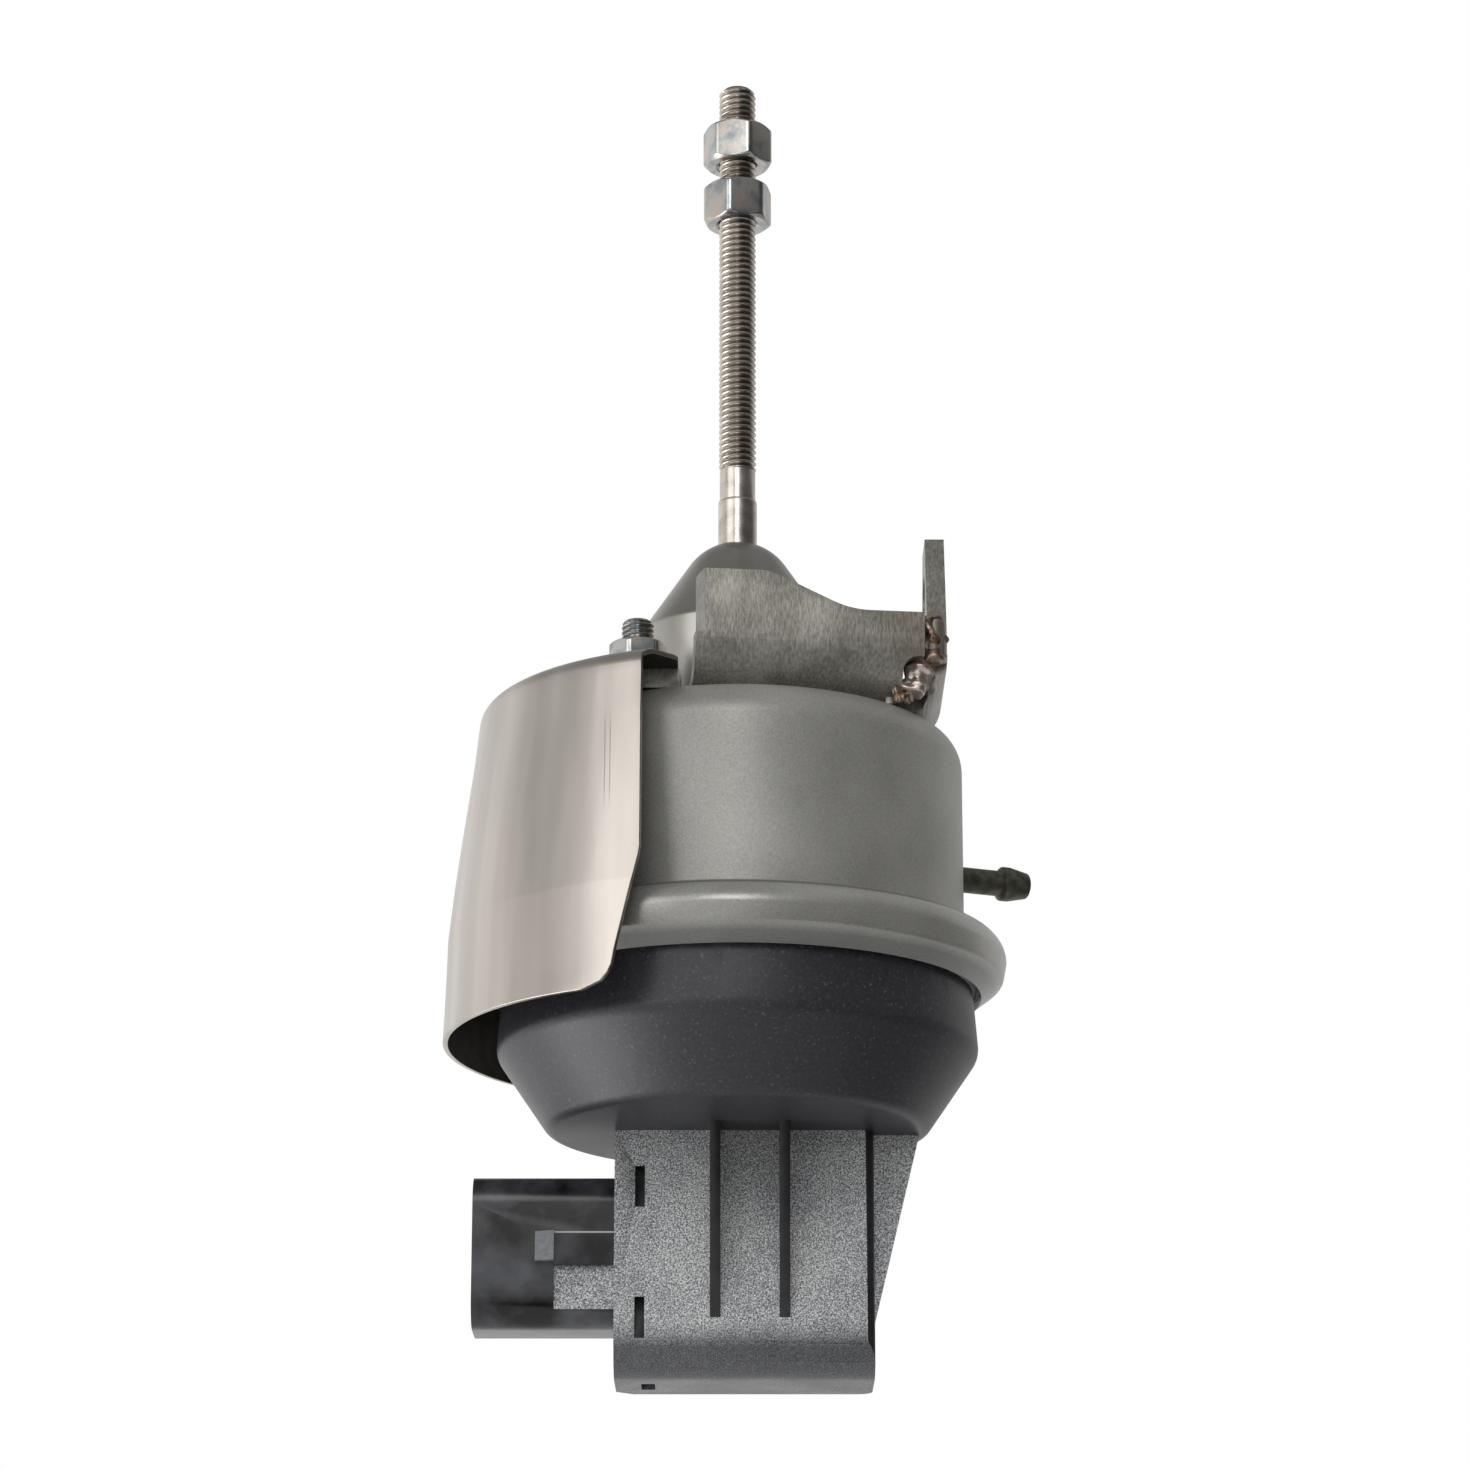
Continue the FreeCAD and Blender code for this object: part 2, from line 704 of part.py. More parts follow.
def make_dome():
    """Pressed cone over the bush: round nose, straight flank and a fold to an upright skirt that
    stands on the can's top."""
    dome = body("dome")
    hole = "(shank_radius + dome_fit)"
    inner_nose = "(dome_nose - dome_wall)"
    halfway = "((%s + dome_nose * cos(dome_tilt)) / 2)" % hole
    high = "%s + sqrt(%s^2 - %s^2)"
    revolve(dome, "pressed", [[
        (hole, high % (DOME_CENTRE, "dome_nose", hole)),
        ("via", halfway, high % (DOME_CENTRE, "dome_nose", halfway)),
        ("dome_nose * cos(dome_tilt)", DOME_CENTRE + " + dome_nose * sin(dome_tilt)"),
        (DOME_SKIRT, "dome_fold_height", "dome_fold_round"),
        (DOME_SKIRT, "0"),
        (DOME_SKIRT + " - dome_wall", "0"),
        (DOME_SKIRT + " - dome_wall", "%s - (%s - dome_wall - %s / cos(dome_tilt)) / tan(dome_tilt)"
         % (DOME_CENTRE, DOME_SKIRT, inner_nose)),
        (inner_nose + " * cos(dome_tilt)", "%s + %s * sin(dome_tilt)" % (DOME_CENTRE, inner_nose)),
        (hole, high % (DOME_CENTRE, inner_nose, hole))]])
    return dome


def make_spring_seat():
    """Pressed ring under the can's top; its collar centres the main spring."""
    seat = body("spring_seat")
    revolve(seat, "pressed", [[
        ("seat_hole", "-can_wall"),
        ("seat_radius", "-can_wall"),
        ("seat_radius", "-" + SEAT_UNDER),
        ("seat_collar_radius", "-" + SEAT_UNDER),
        ("seat_collar_radius", "-%s - seat_collar_height" % SEAT_UNDER),
        ("seat_collar_radius - seat_thick", "-%s - seat_collar_height" % SEAT_UNDER),
        ("seat_collar_radius - seat_thick", "-" + SEAT_UNDER),
        ("seat_hole", "-" + SEAT_UNDER)]])
    return seat


def make_studs():
    """Two studs on the can's top, each with its washer and nut over bracket and shield."""
    for name, sign in (("front", "-"), ("rear", "")):
        x, y = sign + "stud_x", sign + "stud_y"
        stud = body("stud_" + name)
        revolve(stud, "turned", [[
            ("0", "0"), ("stud_radius", "0"), ("stud_radius", "stud_length - stud_chamfer"),
            ("stud_radius - stud_chamfer", "stud_length"), ("0", "stud_length")]])
        place(stud, x, y)
        washer = ring_piece("washer_" + name, "stud_radius + stud_fit", "washer_radius", "0", "washer_thick")
        place(washer, x, y, SHIELD_TOP)
        nut = hex_nut("stud_nut_" + name, "stud_nut_flats", "stud_nut_height", "stud_radius + nut_fit")
        place(nut, x, y, NUT_SEAT, "stud_nut_turn")


def stud_holes():
    """The two holes that go over the studs."""
    return [("-stud_x", "-stud_y", "stud_radius + stud_fit"), ("stud_x", "stud_y", "stud_radius + stud_fit")]


# The folded bracket and the heat shield

def on_wall(along, across):
    """A point of the bracket's slanted front wall, as x and y of the part."""
    return ("(%s) * cos(wall_turn) - (%s) * sin(wall_turn)" % (along, across),
            "(%s) * sin(wall_turn) + (%s) * cos(wall_turn)" % (along, across))


def make_bracket():
    """One folded sheet: a plate on the can's top, a front wall with an S-shaped top edge, and at
    its right end an ear with the mounting hole, welded to the wall at the corner."""
    bracket = body("bracket")
    fold_line = "(wall_front - wall_bend - fold_overlap)"
    ear_root = "(ear_x - ear_bend - fold_overlap)"
    ear_inner = "(ear_x - sheet_thick)"
    left_root = on_wall("-wall_left", "-" + fold_line)
    right_root = on_wall("wall_length - wall_left - wall_relief", "-" + fold_line)
    slot = "-(wall_left - slot_inset)"
    pad(bracket, "plate", "XY_Plane", [[
        ("-tab_left", "-tab_front", "plate_corner"),
        (slot, "-tab_front"),
        (slot, left_root[1]),
        left_root,
        right_root,
        (ear_root, "-(ear_near - wall_relief)"),
        (ear_root, "ear_far"),
        ("stud_x + plate_margin", "stud_y + plate_margin", "plate_corner"),
        ("stud_x - plate_margin", "stud_y + plate_margin", "plate_corner"),
        ("-%s / 2" % PLATE_HOLE, PLATE_HOLE + " + plate_rim", "plate_corner"),
        ("-%s - plate_rim" % PLATE_HOLE, "%s / 2" % PLATE_HOLE, "plate_corner"),
        ("-%s - plate_rim" % PLATE_HOLE, "-%s / 2" % PLATE_HOLE, "plate_corner")]],
        "0", "sheet_thick")
    pad(bracket, "wall", "YZ_Plane", [[
        ("-" + fold_line, "0"),
        ("-wall_front", "0", "wall_bend"),
        ("-wall_front", "wall_top"),
        ("-wall_front + sheet_thick", "wall_top"),
        ("-wall_front + sheet_thick", "sheet_thick", "wall_bend - sheet_thick"),
        ("-" + fold_line, "sheet_thick")]],
        "-wall_left", "wall_length - wall_left", turn="wall_turn")
    pad(bracket, "ear", "XZ_Plane", [[
        (ear_root, "0"),
        ("ear_x", "0", "ear_bend"),
        ("ear_x", "ear_top"),
        (ear_inner, "ear_top"),
        (ear_inner, "sheet_thick", "ear_bend - sheet_thick"),
        (ear_root, "sheet_thick")]],
        "-ear_near", "ear_far")
    trim_bracket(bracket)
    revolve(bracket, "weld", [[
        ("0", "weld_bottom"),
        ("weld_radius / 2", "weld_bottom"),
        ("weld_radius", "weld_bottom + weld_radius / 2"),
        ("weld_radius", "weld_top - weld_radius / 2"),
        ("weld_radius / 2", "weld_top"),
        ("0", "weld_top")]],
        lift="ear_near + weld_inset", aside=ear_inner + " + weld_radius / 2")
    return bracket


def trim_bracket(bracket):
    """Cuts the sheet's edges: the wall's S-shaped top and slanted end, the corner relief, the
    ear's slanted sides and every hole."""
    outer, inner = "-wall_front - cut_margin", "-wall_front + sheet_thick + cut_margin"
    right = "wall_length - wall_left + cut_margin"
    pocket(bracket, "wall_top_cut", "XZ_Plane", [[
        ("-wall_left - cut_margin", "wall_top + cut_margin"),
        ("-wall_left - cut_margin", "wall_top - wall_corner"),
        ("-wall_left", "wall_top - wall_corner"),
        ("via", "-wall_left + wall_corner * " + HALFWAY, "wall_top - wall_corner * " + HALFWAY),
        ("-wall_left + wall_corner", "wall_top"),
        ("-wall_left + wall_corner", "wall_top + cut_margin")]],
        outer, inner, turn="wall_turn")
    pocket(bracket, "wall_step_cut", "XZ_Plane", [[
        ("wall_step_start - wall_step_round", "wall_top + cut_margin"),
        ("wall_step_start - wall_step_round", "wall_top"),
        ("wall_step_start", "wall_top", "wall_step_round"),
        ("wall_step_end", "wall_low_top", "wall_step_dip"),
        (right, "wall_low_top"),
        (right, "wall_top + cut_margin")]],
        outer, inner, turn="wall_turn")
    pocket(bracket, "wall_end_cut", "XY_Plane", [[
        ("-wall_left * cos(wall_turn) + wall_front * sin(wall_turn) + wall_end_slant",
         "-wall_left * sin(wall_turn) - wall_front * cos(wall_turn)"),
        on_wall("-wall_left", "-wall_front + sheet_thick + cut_margin"),
        on_wall("-wall_left - cut_margin", "-wall_front + sheet_thick + cut_margin"),
        on_wall("-wall_left - cut_margin", "-wall_front - cut_margin"),
        on_wall("-wall_left + wall_end_slant", "-wall_front - cut_margin")]],
        "wall_bend", "wall_top + cut_margin")
    pocket(bracket, "relief", "XZ_Plane", [[
        ("wall_length - wall_left - wall_relief", "-cut_margin"),
        ("wall_length - wall_left - wall_relief", "corner_notch_top", "corner_notch_round"),
        (right, "corner_notch_top"),
        (right, "-cut_margin")]],
        outer, "-" + "(wall_front - wall_bend)", turn="wall_turn")
    for name, base, top, side in (("near", "-ear_near", "-ear_top_near", "-ear_near - cut_margin"),
                                  ("far", "ear_far", "-ear_top_far", "ear_far + cut_margin")):
        pocket(bracket, "ear_%s_cut" % name, "YZ_Plane", [[
            (base, "ear_shoulder"), (top, "ear_top"), (top, "ear_top + cut_margin"),
            (side, "ear_top + cut_margin"), (side, "ear_shoulder")]],
            "ear_x - sheet_thick - cut_margin", "ear_x + cut_margin")
    pocket(bracket, "ear_hole", "YZ_Plane", [("-ear_hole_y", "ear_hole_z", "ear_hole_radius")],
           "ear_x - sheet_thick - cut_margin", "ear_x + cut_margin")
    pocket(bracket, "plate_holes", "XY_Plane", stud_holes() + [("0", "0", PLATE_HOLE)],
           "-cut_margin", "sheet_thick + cut_margin")


def make_shield():
    """Bright sheet shield: a flat flange under the stud nuts, a rounded edge and a slightly
    conical wall that ends in an upright hem; its front edge slants back near the bottom."""
    shield = body("heat_shield")
    revolve(shield, "pressed", [[
        ("shield_hole", "sheet_thick"),
        ("shield_top_radius - shield_round", "sheet_thick"),
        ("shield_top_radius - shield_thick", "sheet_thick - shield_round + shield_thick"),
        ("shield_waist_radius - shield_thick", "-shield_waist_drop"),
        ("shield_hem_radius - shield_thick", "-shield_hem_drop"),
        ("shield_hem_radius", "-shield_hem_drop"),
        ("shield_waist_radius", "-shield_waist_drop"),
        ("shield_top_radius", SHIELD_TOP, "shield_round"),
        ("shield_hole", SHIELD_TOP)]],
        sweep="shield_sweep", start="shield_start")
    revolve(shield, "strap", [box_outline("shield_hole", "strap_radius", "sheet_thick", SHIELD_TOP)],
            sweep="strap_sweep + strap_overlap", start="shield_start - strap_sweep")
    pad(shield, "tongue", "XY_Plane", [[
        ("-tongue_outer_x", "-tongue_outer_y"),
        ("-tongue_tip_x", "-tongue_tip_y"),
        ("-tongue_tip_x", "-tongue_root_y"),
        ("-stud_x", "-tongue_root_y")]],
        "sheet_thick", SHIELD_TOP)
    edge = "-shield_edge_x"
    foot = "-shield_edge_x - shield_slant"
    pocket(shield, "front_cut", "XZ_Plane", [[
        (edge, "-shield_slant_drop"),
        (foot, "-shield_hem_drop + shield_corner"),
        ("via", foot + " - shield_corner * " + HALFWAY, "-shield_hem_drop + shield_corner * " + HALFWAY),
        (foot + " - shield_corner", "-shield_hem_drop"),
        (foot + " - shield_corner", "-shield_hem_drop - cut_margin"),
        ("0", "-shield_hem_drop - cut_margin"),
        ("0", "-shield_slant_drop")]],
        "-shield_hem_radius - cut_margin", "-can_radius")
    beside_wall = box_outline("-tongue_tip_x", "0", "-tongue_outer_y", "-tongue_root_y + tongue_relief")
    pocket(shield, "holes", "XY_Plane", stud_holes() + [beside_wall], "0", SHIELD_TOP + " + cut_margin")
    return shield


# The rod and the pieces clamped on its foot

def make_rod():
    """Push rod: sliding shank, undercut, threaded end whose root shows above the lock nut, and a
    collar above its clamped foot."""
    rod = body("push_rod")
    collar_top = "-piston_drop + collar_height"
    foot = "-piston_drop - foot_length"
    beyond = "collar_radius + cut_margin"
    pad(rod, "bar", "XY_Plane", [("0", "0", "collar_radius")], foot, "rod_tip")
    groove(rod, "foot", [box_outline("foot_radius", beyond, foot + " - cut_margin", "-piston_drop")])
    groove(rod, "stem", [[
        ("shank_radius", collar_top),
        (beyond, collar_top),
        (beyond, "rod_tip + cut_margin"),
        ("thread_radius - rod_chamfer", "rod_tip + cut_margin"),
        ("thread_radius - rod_chamfer", "rod_tip"),
        ("thread_radius", "rod_tip - rod_chamfer"),
        ("thread_radius", NUT_TOP + " + root_width"),
        ("root_radius", NUT_TOP + " + root_width"),
        ("root_radius", NUT_TOP),
        ("thread_radius", NUT_TOP),
        ("thread_radius", "relief_top"),
        ("relief_radius", "relief_top"),
        ("relief_radius", "shank_top"),
        ("shank_radius", "shank_top")]])
    return rod


def make_rod_nuts():
    """Adjusting nut and lock nut on the rod's thread, one below and one above the lever's eye."""
    for name, height, turn in (("adjusting_nut", "adjusting_nut_z", "adjusting_nut_turn"),
                               ("lock_nut", "lock_nut_z", "lock_nut_turn")):
        nut = hex_nut(name, "rod_nut_flats", "rod_nut_height", "thread_radius + nut_fit")
        place(nut, z=height, turn=turn)


def make_piston():
    """Pressed cup that holds the main spring and shapes the diaphragm's roll."""
    piston = body("piston")
    top = "piston_height - " + PISTON_UNDER
    revolve(piston, "pressed", [[
        ("foot_radius + foot_fit", "-" + PISTON_UNDER),
        ("piston_radius - piston_bevel", "-" + PISTON_UNDER),
        ("piston_radius", "-%s + piston_bevel" % PISTON_UNDER),
        ("piston_radius", top),
        ("piston_radius - piston_wall", top),
        ("piston_radius - piston_wall", "-%s + piston_bevel" % PISTON_UNDER),
        ("piston_radius - piston_bevel", "-piston_drop"),
        ("foot_radius + foot_fit", "-piston_drop")]])
    return piston


def roll(middle, radius, angles):
    """Corners along one face of the diaphragm's roll."""
    return [("%s + %s * cos(%d)" % (middle, radius, angle), "%s * sin(%d) - roll_drop" % (radius, angle))
            for angle in angles]


def make_diaphragm():
    """Rolling rubber diaphragm: bead under the ring, up the can's wall, over its roll, down the
    piston and flat under it to the rod."""
    rubber = body("diaphragm")
    wall_outer = "(%s - rubber_gap)" % CAN_INNER
    wall_inner = "(%s - rubber_thick)" % wall_outer
    skirt_inner = "(piston_radius + rubber_fit)"
    skirt_outer = "(%s + rubber_thick)" % skirt_inner
    middle = "((%s + %s) / 2)" % (wall_inner, skirt_outer)
    wide = "((%s - %s) / 2)" % (wall_outer, skirt_inner)
    narrow = "((%s - %s) / 2)" % (wall_inner, skirt_outer)
    revolve(rubber, "moulded", [[
        ("cup_flange_radius", "-cup_flange_drop"),
        ("cup_flange_radius", "-cup_flange_drop + bead_height - bead_bevel"),
        ("cup_flange_radius - bead_bevel", "-cup_flange_drop + bead_height"),
        ("cup_flange_radius - bead_width + bead_bevel", "-cup_flange_drop + bead_height"),
        ("cup_flange_radius - bead_width", "-cup_flange_drop + bead_height - bead_bevel"),
        ("cup_flange_radius - bead_width", "-cup_flange_drop + rubber_thick"),
        (wall_outer, "-cup_flange_drop + rubber_thick"),
        ] + roll(middle, wide, (0, 45, 90, 135, 180)) + [
        (skirt_inner, "-%s + piston_bevel" % PISTON_UNDER),
        (skirt_inner + " - piston_bevel", "-" + PISTON_UNDER),
        ("foot_radius + foot_fit", "-" + PISTON_UNDER),
        ("foot_radius + foot_fit", "-" + RUBBER_UNDER),
        (skirt_outer + " - piston_bevel", "-" + RUBBER_UNDER),
        (skirt_outer, "-%s + piston_bevel" % RUBBER_UNDER),
        ] + roll(middle, narrow, (180, 135, 90, 45, 0)) + [
        (wall_inner, "-cup_flange_drop")]])
    return rubber


def make_clamp():
    """Backing plate and nut that clamp the diaphragm to the piston."""
    ring_piece("backing_plate", "foot_radius + foot_fit", "backing_radius", "-" + BACKING_UNDER,
               "-" + RUBBER_UNDER)
    nut = hex_nut("clamp_nut", "foot_nut_flats", "foot_nut_height", "foot_radius + nut_fit")
    place(nut, z="-%s - foot_nut_height" % BACKING_UNDER)


# The magnet that follows the piston

def make_carrier():
    """Plastic slider with a thin stem against the backing plate and a magnet in its foot."""
    carrier = body("magnet_carrier")
    foot = "-carrier_top_drop - carrier_length"
    revolve(carrier, "moulded", [[
        ("0", "-%s - carrier_gap" % BACKING_UNDER),
        ("carrier_stem_radius", "-%s - carrier_gap" % BACKING_UNDER),
        ("carrier_stem_radius", "-carrier_top_drop"),
        ("carrier_radius", "-carrier_top_drop"),
        ("carrier_radius", foot),
        ("magnet_radius + seat_fit", foot),
        ("magnet_radius + seat_fit", "-magnet_drop"),
        ("0", "-magnet_drop")]])
    place(carrier, y="carrier_y")
    magnet = body("magnet")
    pad(magnet, "disc", "XY_Plane", [("0", "0", "magnet_radius")], "-" + MAGNET_UNDER, "-magnet_drop")
    place(magnet, y="carrier_y")


# The plastic housing with its sensor box and socket

def flank_height(radius):
    """Height of the cup flange's slanted underside, just above the rolled flank of the ring."""
    return "%s - (ring_edge_radius - can_wall - %s) * tan(flank_tilt) + crimp_gap" % (FLANK_CORNER, radius)


def make_cup(housing):
    """The round cup, closed below, with its clamped flange and the stop tube inside."""
    stop_top = "-%s - stop_gap" % BACKING_UNDER
    revolve(housing, "cup", [[
        ("0", "-cup_drop"),
        ("cup_floor_radius", "-cup_drop", "cup_floor_round"),
        ("cup_radius", "-cup_shoulder_drop", "cup_shoulder_round"),
        ("cup_neck_radius", flank_height("cup_neck_radius")),
        ("cup_flange_radius", flank_height("cup_flange_radius")),
        ("cup_flange_radius", "-cup_flange_drop"),
        ("cup_neck_radius - cup_wall", "-cup_flange_drop"),
        ("cup_radius - cup_wall", "-cup_shoulder_drop"),
        ("cup_floor_radius - cup_wall / 2", "-" + CUP_FLOOR_DROP),
        ("stop_tube_radius", "-" + CUP_FLOOR_DROP),
        ("stop_tube_radius", stop_top),
        ("stop_tube_radius - stop_tube_wall", stop_top),
        ("stop_tube_radius - stop_tube_wall", "-" + CUP_FLOOR_DROP),
        ("0", "-" + CUP_FLOOR_DROP)]])


def make_box(housing):
    """The square box under the cup: rounded belly, two thin ribs in front, a gusset at its right,
    two slots and a notch left by the mould."""
    top = "-cup_drop + cup_wall / 2"
    pad(housing, "box", "XY_Plane", [[
        ("-box_left", "-box_front"),
        ("box_right", "-box_front", "box_front_round"),
        ("box_right", "box_back", "box_back_round"),
        ("-box_left + box_back_chamfer", "box_back"),
        ("-box_left", "box_back - box_back_chamfer")]],
        "-box_drop", top)
    pocket(housing, "belly", "YZ_Plane", [[
        ("-box_front - cut_margin", "-box_drop - cut_margin"),
        ("-box_front - cut_margin", "-box_drop + box_belly_round"),
        ("-box_front", "-box_drop + box_belly_round"),
        ("via", "-box_front + box_belly_round * " + HALFWAY, "-box_drop + box_belly_round * " + HALFWAY),
        ("-box_front + box_belly_round", "-box_drop"),
        ("-box_front + box_belly_round", "-box_drop - cut_margin")]],
        "-box_left - cut_margin", "box_right + cut_margin")
    for name, x in (("left", "-rib_left"), ("right", "rib_right")):
        pad(housing, "rib_" + name, "YZ_Plane", [[
            ("-box_front + cut_margin", top),
            ("-box_front - rib_reach", top),
            ("-box_front - rib_reach", "-cup_drop"),
            ("-box_front", "-rib_drop"),
            ("-box_front + cut_margin", "-rib_drop")]],
            x + " - rib_width / 2", x + " + rib_width / 2")
    pad(housing, "gusset", "XZ_Plane", [[
        ("box_right - cut_margin", top),
        ("box_right + gusset_reach", top),
        ("box_right + gusset_reach", "-cup_drop"),
        ("box_right", "-gusset_drop"),
        ("box_right - cut_margin", "-gusset_drop")]],
        "gusset_front", "gusset_front + gusset_width")
    slots = [box_outline("-window_x - window_width / 2", "-window_x + window_width / 2",
                         "-%s - window_height / 2" % drop, "-%s + window_height / 2" % drop)
             for drop in ("window_upper_drop", "window_lower_drop")]
    pocket(housing, "windows", "XZ_Plane", slots, "-box_front - cut_margin", "-box_front + window_depth")
    pocket(housing, "notch", "XY_Plane", [box_outline(
        "-notch_x - notch_width / 2", "-notch_x + notch_width / 2",
        "notch_y - notch_length / 2", "notch_y + notch_length / 2")],
        "-box_drop - cut_margin", "-box_drop + notch_depth")


def make_socket(housing):
    """The connector shroud at the left, with the latch ramp and its rail on the front."""
    pad(housing, "shroud", "YZ_Plane", [[
        ("-socket_front", "-socket_bottom_drop", "socket_corner"),
        ("socket_back", "-socket_bottom_drop", "socket_corner"),
        ("socket_back", "-socket_top_drop", "socket_corner"),
        ("-socket_front", "-socket_top_drop", "socket_corner")]],
        "-socket_left", "-box_left + cut_margin")
    inner = "socket_corner - socket_wall"
    pocket(housing, "socket_mouth", "YZ_Plane", [[
        ("-socket_front + socket_wall", "-socket_bottom_drop + socket_wall", inner),
        ("socket_back - socket_wall", "-socket_bottom_drop + socket_wall", inner),
        ("socket_back - socket_wall", "-socket_top_drop - socket_wall", inner),
        ("-socket_front + socket_wall", "-socket_top_drop - socket_wall", inner)]],
        "-socket_left - cut_margin", "-socket_left + socket_depth")
    ramp_right = "-ramp_left + ramp_width"
    pad(housing, "latch_ramp", "XY_Plane", [[
        ("-ramp_left", "-socket_front + cut_margin"),
        ("-ramp_left", "-socket_front - ramp_proud / 2"),
        (ramp_right, "-socket_front - ramp_proud"),
        (ramp_right, "-socket_front + cut_margin")]],
        "-ramp_top_drop - ramp_height", "-ramp_top_drop")
    rail = box_outline(ramp_right, "-box_left + cut_margin", "-ramp_top_drop - rail_height", "-ramp_top_drop")
    pad(housing, "latch_rail", "XZ_Plane", [rail], "-socket_front - rail_proud", "-socket_front + cut_margin")
    pocket(housing, "latch_pad", "XZ_Plane",
           [box_outline(ramp_right, "-box_left", "-ramp_top_drop - rail_height - pad_height",
                        "-ramp_top_drop - rail_height")],
           "-socket_front - cut_margin", "-socket_front + pad_sunk")


def pin_outline(grown):
    """A terminal seen from above: a pointed blade in the socket and a tail bent back to the
    circuit board. The housing's channel is the same outline, grown by its clearance."""
    front = "%s - pin_thick / 2 - %s" % (SOCKET_MID_Y, grown)
    back = "%s + pin_thick / 2 + %s" % (SOCKET_MID_Y, grown)
    tip = "-socket_left + socket_depth - pin_reach - %s" % grown
    return [
        (tip, front + " + pin_thick / 4"),
        (tip + " + pin_thick", front),
        ("-pin_tail_x + " + grown, front),
        ("-pin_tail_x + " + grown, "board_y + board_thick"),
        ("-pin_tail_x - pin_thick - " + grown, "board_y + board_thick"),
        ("-pin_tail_x - pin_thick - " + grown, back),
        (tip + " + pin_thick", back),
        (tip, back + " - pin_thick / 4")]


PIN_DROPS = {"upper": SOCKET_MID_DROP + " - pin_pitch",
             "middle": SOCKET_MID_DROP,
             "lower": SOCKET_MID_DROP + " + pin_pitch"}


def make_sockets_inside(housing):
    """Everything cut out behind the walls: slider bore, board pocket, lid seat, chip recess and
    the channels of the three terminals."""
    pocket(housing, "slider_bore", "XY_Plane", [("0", "carrier_y", BORE_RADIUS)],
           "-bore_drop", "-%s + cut_margin" % CUP_FLOOR_DROP)
    pocket(housing, "board_pocket", "XZ_Plane", [board_outline("0")], "board_y", "box_back + cut_margin")
    pocket(housing, "lid_seat", "XZ_Plane", [board_outline("lid_rim")],
           "box_back - lid_thick", "box_back + cut_margin")
    pocket(housing, "chip_recess", "XZ_Plane", [chip_outline("board_fit")],
           "board_y - chip_thick - board_fit", "board_y + cut_margin")
    for name, drop in PIN_DROPS.items():
        pocket(housing, "channel_" + name, "XY_Plane", [pin_outline("pin_fit")],
               "-(%s) - pin_width / 2 - pin_fit" % drop, "-(%s) + pin_width / 2 + pin_fit" % drop)


def board_outline(grown):
    return box_outline("-board_left - (%s)" % grown, "board_right + (%s)" % grown,
                       "-board_bottom_drop - (%s)" % grown, "-board_top_drop + (%s)" % grown)


def chip_outline(grown):
    return box_outline("-chip_width / 2 - " + grown, "chip_width / 2 + " + grown,
                       "-chip_drop - chip_height / 2 - " + grown, "-chip_drop + chip_height / 2 + " + grown)


def make_housing():
    """The one-piece plastic moulding: cup, sensor box and connector shroud."""
    housing = body("sensor_housing")
    make_cup(housing)
    make_box(housing)
    make_socket(housing)
    make_sockets_inside(housing)
    return housing


def make_electrics():
    """Circuit board with its position chip, three terminals and the lid behind them."""
    board = body("circuit_board")
    pad(board, "blank", "XZ_Plane", [board_outline("-board_fit")], "board_y", "board_y + board_thick")
    holes = [box_outline("-pin_tail_x - pin_thick - pin_fit", "-pin_tail_x + pin_fit",
                         "-(%s) - pin_width / 2 - pin_fit" % drop, "-(%s) + pin_width / 2 + pin_fit" % drop)
             for drop in PIN_DROPS.values()]
    pocket(board, "pin_holes", "XZ_Plane", holes,
           "board_y - cut_margin", "board_y + board_thick + cut_margin")
    chip = body("hall_sensor")
    pad(chip, "package", "XZ_Plane", [chip_outline("0")], "board_y - chip_thick", "board_y")
    for name, drop in PIN_DROPS.items():
        pin = body("terminal_" + name)
        pad(pin, "strip", "XY_Plane", [pin_outline("0")],
            "-(%s) - pin_width / 2" % drop, "-(%s) + pin_width / 2" % drop)
    lid = body("housing_lid")
    pad(lid, "plate", "XZ_Plane", [board_outline("lid_rim - lid_fit")], "box_back - lid_thick", "box_back")


def pieces():
    """Every finished piece of the document: the bodies and the two coils."""
    return [thing for thing in doc.Objects if thing.TypeId in ("PartDesign::Body", "Part::Feature")]


def write_pieces():
    """Checks every object and piece, then writes one file for each piece."""
    doc.recompute()
    for thing in doc.Objects:
        if "Invalid" in thing.State or "Error" in thing.State:
            raise RuntimeError("%s failed: %s" % (thing.Name, thing.State))
    for piece in pieces():
        shape = piece.Shape
        if shape.isNull() or not shape.isValid() or len(shape.Solids) != 1:
            raise RuntimeError("%s is not one sound solid" % piece.Label)
    os.makedirs("parts", exist_ok=True)
    for piece in pieces():
        piece.Shape.exportStep("parts/%s.step" % piece.Label)
        print("%-16s %10.1f mm3" % (piece.Label, piece.Shape.Volume))


make_canister()
make_nipple()
make_bush()
make_seal()
make_dome()
make_spring_seat()
make_studs()
make_bracket()
make_shield()
make_rod()
make_rod_nuts()
make_piston()
make_diaphragm()
make_clamp()
make_carrier()
make_housing()
make_electrics()
coil("main_spring", "spring_radius", "spring_wire", "spring_turns", "-piston_drop", "-" + SEAT_UNDER)
coil("return_spring", "return_radius", "return_wire", "return_turns", "-bore_drop", "-" + MAGNET_UNDER,
     y="carrier_y")
write_pieces()
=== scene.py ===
import bpy
import bmesh
import math
from mathutils import Matrix, Vector, noise


